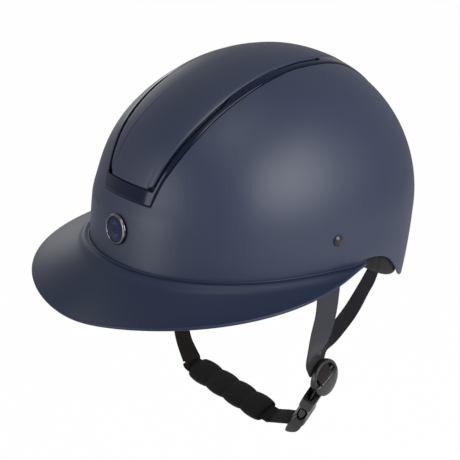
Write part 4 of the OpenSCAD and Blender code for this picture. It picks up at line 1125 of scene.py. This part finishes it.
def half_moon(name, at, axes):
    """Domed plate over the lower part of an adjuster: slices from its straight edge to the foot of
    its arc, each as wide as the circle there; its height falls off as a power of the radius."""
    radius, crown, foot, start = PLATE_R, 4.1, -1.4, 0.2
    v = np.linspace(0, 1, 30)[:, None]
    y = -start - (radius - 0.25) * np.sin(v * np.pi / 2) * 0.995
    x = np.sin(np.linspace(-1, 1, 41) * np.pi / 2) * np.sqrt(radius ** 2 - y * y)
    far = np.sqrt(x * x + y * y) / radius
    top = crown - 2.0 * far ** 4 - 1.2 * np.exp(-((-y - start) / 1.1) ** 2) * (1 - 0.6 * far ** 2)
    slices = np.concatenate([together(x, y, top), together(x[:, ::-1], y, foot)], 1)
    return grid_object(name, place(slices, at, axes))


def bar_along(name, half, y, z, ry, rz, at, axes):
    """Rounded bar across an adjuster: an oval section whose ends close in a quarter circle."""
    cos, sin = circle(24)
    turn = np.cos(np.linspace(0, np.pi / 2, 5))
    x = np.concatenate([-turn, [0], turn[::-1]])
    x = (half * np.sign(x) * (1 - (1 - np.abs(x)) * 0.12))[:, None]
    size = arr(0.35, 0.6, 0.85, 0.97, 1, 1, 1, 0.97, 0.85, 0.6, 0.35)[:, None]
    return shaped(name, at, axes, x, y + size * ry * cos, z + size * rz * sin)


class HELMET_OT_adjusters(bpy.types.Operator):
    """Round adjusters: a thick rolled rim, a bar for the webbing and a domed half-moon plate"""

    bl_idname = "helmet.adjusters"
    bl_label = "Adjusters"

    def execute(self, context):
        plastic = moulded("Adjuster_plastic", context.scene.helmet_colours.plastic, 0.34)
        shine = moulded("Adjuster_plate_plastic", (0.018, 0.018, 0.020), 0.22)
        cos, sin = circle(32)
        section = together(13.5 + 1.5 * spread(cos, 0.55), 2.4 * spread(sin, 0.6))
        back_section = rounded([(0.02, -2.1), (13.2, -2.1), (13.2, -1.45), (0.02, -1.45)], 0.1)
        for side, word, body in ((1, "left", "helmet"), (-1, "right", "chin_strap")):
            flip = arr(side, 1, 1)
            at, axes = ADJ_AT * flip, [v * flip for v in (PLATE_SIDE, PLATE_UP, ADJ_OUT)]
            rim = lathe("rim", section, at, axes, ring=True)
            plate = half_moon("plate", at, axes)
            back = lathe("back", back_section, at, axes, n=64)
            ring = joined(word.capitalize() + "_adjuster", [rim, back])
            dress(ring, plastic, body, word + "_adjuster", slot="fitting_plastic")
            bar = bar_along("bar", 12.6, 1.6, 0.2, 1.5, 1.1, at, axes)
            moon = joined(word.capitalize() + "_adjuster_plate", [plate, bar])
            dress(moon, shine, body, word + "_adjuster_bar", slot="fitting_plastic")
        return {"FINISHED"}


def loft(name, stations, at, axes, power=0.42, n=64):
    """Solid through rounded boxes: each station gives its height, half width, half thickness and the
    shift of its middle across the thickness; the corners are a superellipse of one power."""
    z, wide, deep, shift = spline(stations, 6).T[..., None]
    x, y = (spread(v, power) for v in circle(n))
    return shaped(name, at, axes, wide * x, deep * y + shift, z)


def cut(obj, *cutters):
    """Takes closed shapes out of an object, leaves the result in its mesh and shades it by angle."""
    for cutter in cutters:
        change = obj.modifiers.new("cut", "BOOLEAN")
        change.operation, change.solver, change.object = "DIFFERENCE", "EXACT", cutter
    bpy.context.view_layer.update()
    graph = bpy.context.evaluated_depsgraph_get()
    made = bpy.data.meshes.new_from_object(obj.evaluated_get(graph))
    obj.modifiers.clear()
    obj.data = made
    for cutter in cutters:
        bpy.data.objects.remove(cutter)
    obj.data.set_sharp_from_angle(angle=np.radians(38))
    return obj


class HELMET_OT_buckle(bpy.types.Operator):
    """Side-release buckle: waisted socket with side windows, tongue and two sprung prongs"""

    bl_idname = "helmet.buckle"
    bl_label = "Buckle"

    def execute(self, context):
        plastic = moulded("Buckle_plastic", context.scene.helmet_colours.plastic, 0.3)
        cos, sin = circle(40)
        body = loft("Buckle_socket", [
            (-29.5, 11.9, 5.0, 0), (-29.2, 12.4, 5.5, 0), (-26, 12.5, 5.7, 0), (-20.4, 12.5, 5.7, 0),
            (-19.9, 12.0, 5.2, 0), (-19, 11.2, 4.4, 0.2), (-12, 10.6, 4.1, 0.3), (-7, 11.0, 4.4, 0.3),
            (-3.8, 12.2, 5.2, 0.1), (-1.8, 12.9, 5.8, 0), (-0.3, 13.0, 5.9, 0), (0, 12.9, 5.8, 0)],
            *BUCKLE, 0.24)
        hollow = [(-18.5, 9.2, 3.0, 0), (-15, 9.4, 3.1, 0), (2, 9.6, 3.2, 0)]
        slot = [(-31, 10.2, 2.6, 0), (-27, 9.6, 1.7, 0), (-21.5, 9.4, 1.3, 0)]
        half_y, mid_y, half_z, mid_z = 4.1, 0.2, 7.3, -11.2
        window = shaped("window", *BUCKLE, arr(-16, 16)[:, None], half_y * cos + mid_y,
                        mid_z + half_z * sin)
        hollow, slot = loft("hollow", hollow, *BUCKLE, 0.25, 32), loft("slot", slot, *BUCKLE, 0.3, 32)
        cut(body, hollow, window, slot)
        dress(body, plastic, "helmet", "buckle_socket", slot="fitting_plastic")
        tongue = loft("Buckle_tongue", [
            (1.0, 11.6, 4.5, 0), (1.3, 12.0, 4.9, 0), (4, 12.4, 5.1, -0.2), (8, 12.6, 5.2, -0.6),
            (11.5, 12.5, 4.7, -1.3), (14.5, 12.2, 3.4, -2.6), (16.6, 11.9, 1.9, -3.8),
            (17.4, 11.6, 1.2, -4.3)], *BUCKLE, 0.22)
        half_x, through = 8.7, arr(-8, 8)[:, None]
        cut(tongue, *[shaped("slot", *BUCKLE, half_x * spread(cos), through, z + reach * spread(sin))
                      for z, reach in ((5.6, 1.8), (11.6, 1.9))])
        guide = [(-12, 1.6, 0.9, 0), (-11.4, 2.1, 1.2, 0), (0.6, 2.2, 1.2, 0)]
        tongue = joined("Buckle_tongue", [tongue, loft("guide", guide, *BUCKLE, 0.4, 24)])
        dress(tongue, plastic, "chin_strap", "buckle_tongue", slot="fitting_plastic")
        bar = [(-16.8, 0.9, 1.2, 0), (-16.2, 1.4, 1.7, 0), (-13.5, 1.5, 1.8, 0), (-4.5, 1.5, 1.8, 0),
               (-1.6, 1.45, 1.75, 0), (-0.2, 1.0, 1.3, 0)]
        middle, proud, height = 7.6, 1.0, -11.6
        for side, word in ((-1, "front"), (1, "rear")):
            arm = loft("arm", bar, MOUTH + BUCKLE_X * (side * middle), BUCKLE[1], 0.5, 24)
            at = MOUTH + BUCKLE_X * (side * middle + side * proud) + BUCKLE_Z * height
            button = button_cap("button", at, (BUCKLE_Z, BUCKLE_Y, BUCKLE_X * side))
            piece = joined("Prong_" + word, [arm, button])
            dress(piece, plastic, "prong_" + word, word + "_prong", slot="fitting_plastic")
        return {"FINISHED"}


def button_cap(name, at, axes):
    """Oval thumb button: one oval at many sizes and heights, closed in a soft dome with a dip."""
    (cos, sin), long_half, wide_half = circle(48), 5.3, 2.5
    k, h = arr((0.98, 0), (1.0, 0.4), (1.0, 2.2), (0.95, 2.7), (0.85, 2.95), (0.6, 3.0), (0.3, 2.9),
               (0.02, 2.85)).T[..., None]
    return shaped(name, at, axes, long_half * k * cos, wide_half * k * sin, h)


class HELMET_OT_webbing(bpy.types.Operator):
    """Woven webbing: the loop from adjuster to socket, and the chin strap"""

    bl_idname = "helmet.webbing"
    bl_label = "Webbing"

    def execute(self, context):
        cloth = woven("Brown_black_webbing", context.scene.helmet_colours.webbing)
        groove = 0.06
        on_plate = place(arr([-1.5, 10.6, -1.2], [-1.5, 8.6, 0.6], [-1.5, 5.4, 2.2], [-1.5, 2.4, 3.2],
                             [-1.5, 0.2, 2.2], [-1.5, -1.8, -1.2], [-2, -6, -4.2]),
                         ADJ_AT, (PLATE_SIDE, PLATE_UP, ADJ_OUT))
        path = arr(*on_plate, *[MOUTH - BUCKLE_Z * run for run in (33, 30, 25)])
        across = arr(*[PLATE_SIDE] * 6, unit(ADJ_SIDE + BUCKLE_X), *[BUCKLE_X] * 3)
        short = ribbon("Buckle_webbing", path, across, np.full(len(path), WEB_W), WEB_T, 12, groove)
        dress(short, cloth, "helmet", "buckle_webbing", slot="webbing")
        bar = MOUTH + BUCKLE_Z * 12
        start = ADJ_SIDE * MIRROR
        path = arr([-90.9, -1, -69], [-91.2, 0.4, -79.5], [-91.8, 1, -91.5], [-87, 0, -101],
                   [-80, -1.2, -108], [-74, -2.2, -113], CHIN_FROM, CHIN_MIDDLE, CHIN_TO,
                   [43.5, -9.1, -117.2], [51, -9.5, -114.4], [58.5, -9.9, -111.6],
                   bar - BUCKLE_Y * 5.6 + BUCKLE_Z * 0.6, bar - BUCKLE_Y * 2)
        across = arr(start, start, LEVEL, LEVEL, [0, 1, 0.2], [0, 1, 0.4], *[CHIN_ACROSS] * 4,
                     unit(CHIN_ACROSS + BUCKLE_X), *[BUCKLE_X] * 3)
        chin = ribbon("Chin_webbing", path, across, np.full(len(path), WEB_W), WEB_T, 12, groove)
        dress(chin, cloth, "chin_strap", "chin_webbing", slot="webbing")
        return {"FINISHED"}


class HELMET_OT_chin_pad(bpy.types.Operator):
    """Fleece sleeve on the chin strap: four lobes between sewn waists, with open ends"""

    bl_idname = "helmet.chin_pad"
    bl_label = "Chin pad"

    def execute(self, context):
        axes, (cos, sin) = (CHIN_DIR, CHIN_ACROSS, CHIN_FACE), circle(64)
        u = np.linspace(0, 1, 181)[:, None]
        lobe = np.abs(np.sin(CHIN_LOBES * np.pi * u))
        swell = 1 - CHIN_WAIST / CHIN_HALF_W * (1 - lobe ** 0.7)
        wide = spread(cos, 0.8)
        crease = 1 - 0.22 * (1 - lobe) ** 6 * np.abs(wide) ** 4
        z = CHIN_HALF_T * (0.9 + 0.1 * lobe ** 0.6) * crease * spread(sin, 0.75)
        outer = place(together((u - 0.5) * CHIN_L, CHIN_HALF_W * swell * wide, z), CHIN_MIDDLE, axes)
        u = np.linspace(1, 0, 60)[:, None]
        gape, half_w, half_t = np.abs(u - 0.5) ** 6 * 64, 9.0, 1.25
        x, z = (half_w + 0.5 * gape) * spread(cos, 0.5), (half_t + 1.6 * gape) * spread(sin, 0.8)
        inner = place(together((u - 0.5) * CHIN_L, x, z), CHIN_MIDDLE, axes)
        sleeve = grid_object("Chin_pad", np.concatenate([outer, inner]), wrap_rows=True)
        fleece = knitted("Chin_fleece", context.scene.helmet_colours.fleece, 1500.0)
        dress(sleeve, fleece, "chin_cushion", "chin_pad", slot="chin_quilt")
        return {"FINISHED"}


class HELMET_OT_studio(bpy.types.Operator):
    """Pale floor, soft lights and the camera"""

    bl_idname = "helmet.studio"
    bl_label = "Studio"

    def execute(self, context):
        scene = context.scene
        s = scene.helmet_studio
        scene.view_settings.view_transform = "Standard"
        side = np.linspace(-FLOOR_REACH, FLOOR_REACH, 3)
        points = together(side, side[:, None], s.floor_z) / MM
        floor = new_object("Floor", points, [quads(3, 3, wrap_cols=False).reshape(-1, 4)])
        floor.data.materials.append(pale_floor())
        scene.world = white_world(s.world)
        lamp("Key", s.key, (1.3, 1.1), (1.55, 0.3, 0.7))
        lamp("Fill", s.fill, (0.8, 1.2), (-0.3, -1.7, 0.25))
        lamp("Rim", s.rim, (0.7, 0.7), (-1.7, 0.45, 0.4))
        lamp("Top", s.top, (0.8, 0.8), (0.45, -0.35, 1.7))
        camera(scene)
        return {"FINISHED"}


def pale_floor():
    """Floor: plain pale paint, which the camera sees as almost pure white, with a trace of shadow."""
    f = Finish("Pale_floor")
    lit = f.node("BsdfDiffuse", Color=(0.85, 0.85, 0.85, 1))
    white = f.node("Emission", Color=(1, 1, 1, 1))
    mix = f.tree.nodes.new("ShaderNodeMixShader")
    for slot, wire in zip(mix.inputs, (f.ray("Camera") * 0.985, lit, white)):
        plug(f.tree, slot, wire)
    f.node("OutputMaterial", Surface=Wire(f.tree, mix.outputs[0]))
    return f.made


def white_world(even):
    """World: a weak even light, seen as white by the camera and through glass, and in part by
    mirror-like rays."""
    f, mirror_share = Finish("Studio", bpy.data.worlds), 0.25
    seen = f.ray("Camera").math("MAXIMUM", f.ray("Transmission"))
    seen = seen.math("MAXIMUM", f.ray("Glossy") * mirror_share)
    light = f.node("Background", Color=(1, 1, 1, 1), Strength=seen * (1 - even) + even)
    f.node("OutputWorld", Surface=light)
    return f.made


def camera(scene):
    """Camera at the photograph's angle, turned so that the helmet is framed without a shift."""
    az, el, dist = np.radians(49.737), np.radians(21.212), 1426.572
    focal, cx, cy, half, sensor = 1778.645, 258.836, 192.345, 230.0, 36.0
    back = arr(np.sin(az) * np.cos(el), -np.cos(az) * np.cos(el), np.sin(el))
    right = arr(np.cos(az), np.sin(az), 0)
    up = np.cross(back, right)
    spot = arr(0, 10.96, 60) + back * dist
    z = unit(back - right * (half - cx) / focal - up * (cy - half) / focal)
    x = unit(np.cross(up, z))
    data = bpy.data.cameras.new("Camera")
    data.sensor_width, data.lens, data.clip_start = sensor, focal / (2 * half) * sensor, 0.05
    cam = bpy.data.objects.new("Camera", data)
    cam.matrix_world = Matrix([*np.stack([x, np.cross(z, x), z, spot * MM], 1).tolist(), [0, 0, 0, 1]])
    scene.collection.objects.link(cam)
    scene.camera = cam


def lamp(name, power, size, at, target=(0, 0, 0.05)):
    """Rectangular soft light turned to the helmet."""
    data = bpy.data.lights.new(name, "AREA")
    data.shape, data.size, data.size_y = "RECTANGLE", *size
    data.energy = power
    obj = bpy.data.objects.new(name, data)
    obj.location = at
    obj.rotation_euler = (Vector(target) - Vector(at)).to_track_quat("-Z", "Y").to_euler()
    bpy.context.scene.collection.objects.link(obj)


class HELMET_PT_panel(bpy.types.Panel):
    """Colours, sizes and studio settings, and a button for each piece"""

    bl_idname = "HELMET_PT_panel"
    bl_label = "Riding helmet"
    bl_space_type = "VIEW_3D"
    bl_region_type = "UI"
    bl_category = "Helmet"

    def draw(self, context):
        scene = context.scene
        for group in (scene.helmet_colours, scene.helmet_sizes, scene.helmet_studio):
            box = self.layout.box()
            for name in group.__annotations__:
                box.prop(group, name)
        for op in OPERATORS:
            self.layout.operator(op.bl_idname)


OPERATORS = (HELMET_OT_shell, HELMET_OT_brim, HELMET_OT_vent_frame, HELMET_OT_panel,
             HELMET_OT_vent_mesh, HELMET_OT_liner, HELMET_OT_pads, HELMET_OT_badge, HELMET_OT_rivets,
             HELMET_OT_straps, HELMET_OT_adjusters, HELMET_OT_buckle, HELMET_OT_webbing,
             HELMET_OT_chin_pad, HELMET_OT_studio)
CLASSES = (HelmetColours, HelmetSizes, StudioSettings) + OPERATORS + (HELMET_PT_panel,)


def register():
    for cls in CLASSES:
        bpy.utils.register_class(cls)
    bpy.types.Scene.helmet_colours = PointerProperty(type=HelmetColours)
    bpy.types.Scene.helmet_sizes = PointerProperty(type=HelmetSizes)
    bpy.types.Scene.helmet_studio = PointerProperty(type=StudioSettings)


def unregister():
    del bpy.types.Scene.helmet_colours
    del bpy.types.Scene.helmet_sizes
    del bpy.types.Scene.helmet_studio
    for cls in reversed(CLASSES):
        bpy.utils.unregister_class(cls)


def main():
    register()
    for op in OPERATORS:
        group, name = op.bl_idname.split(".")
        getattr(getattr(bpy.ops, group), name)()


if __name__ == "__main__":
    main()
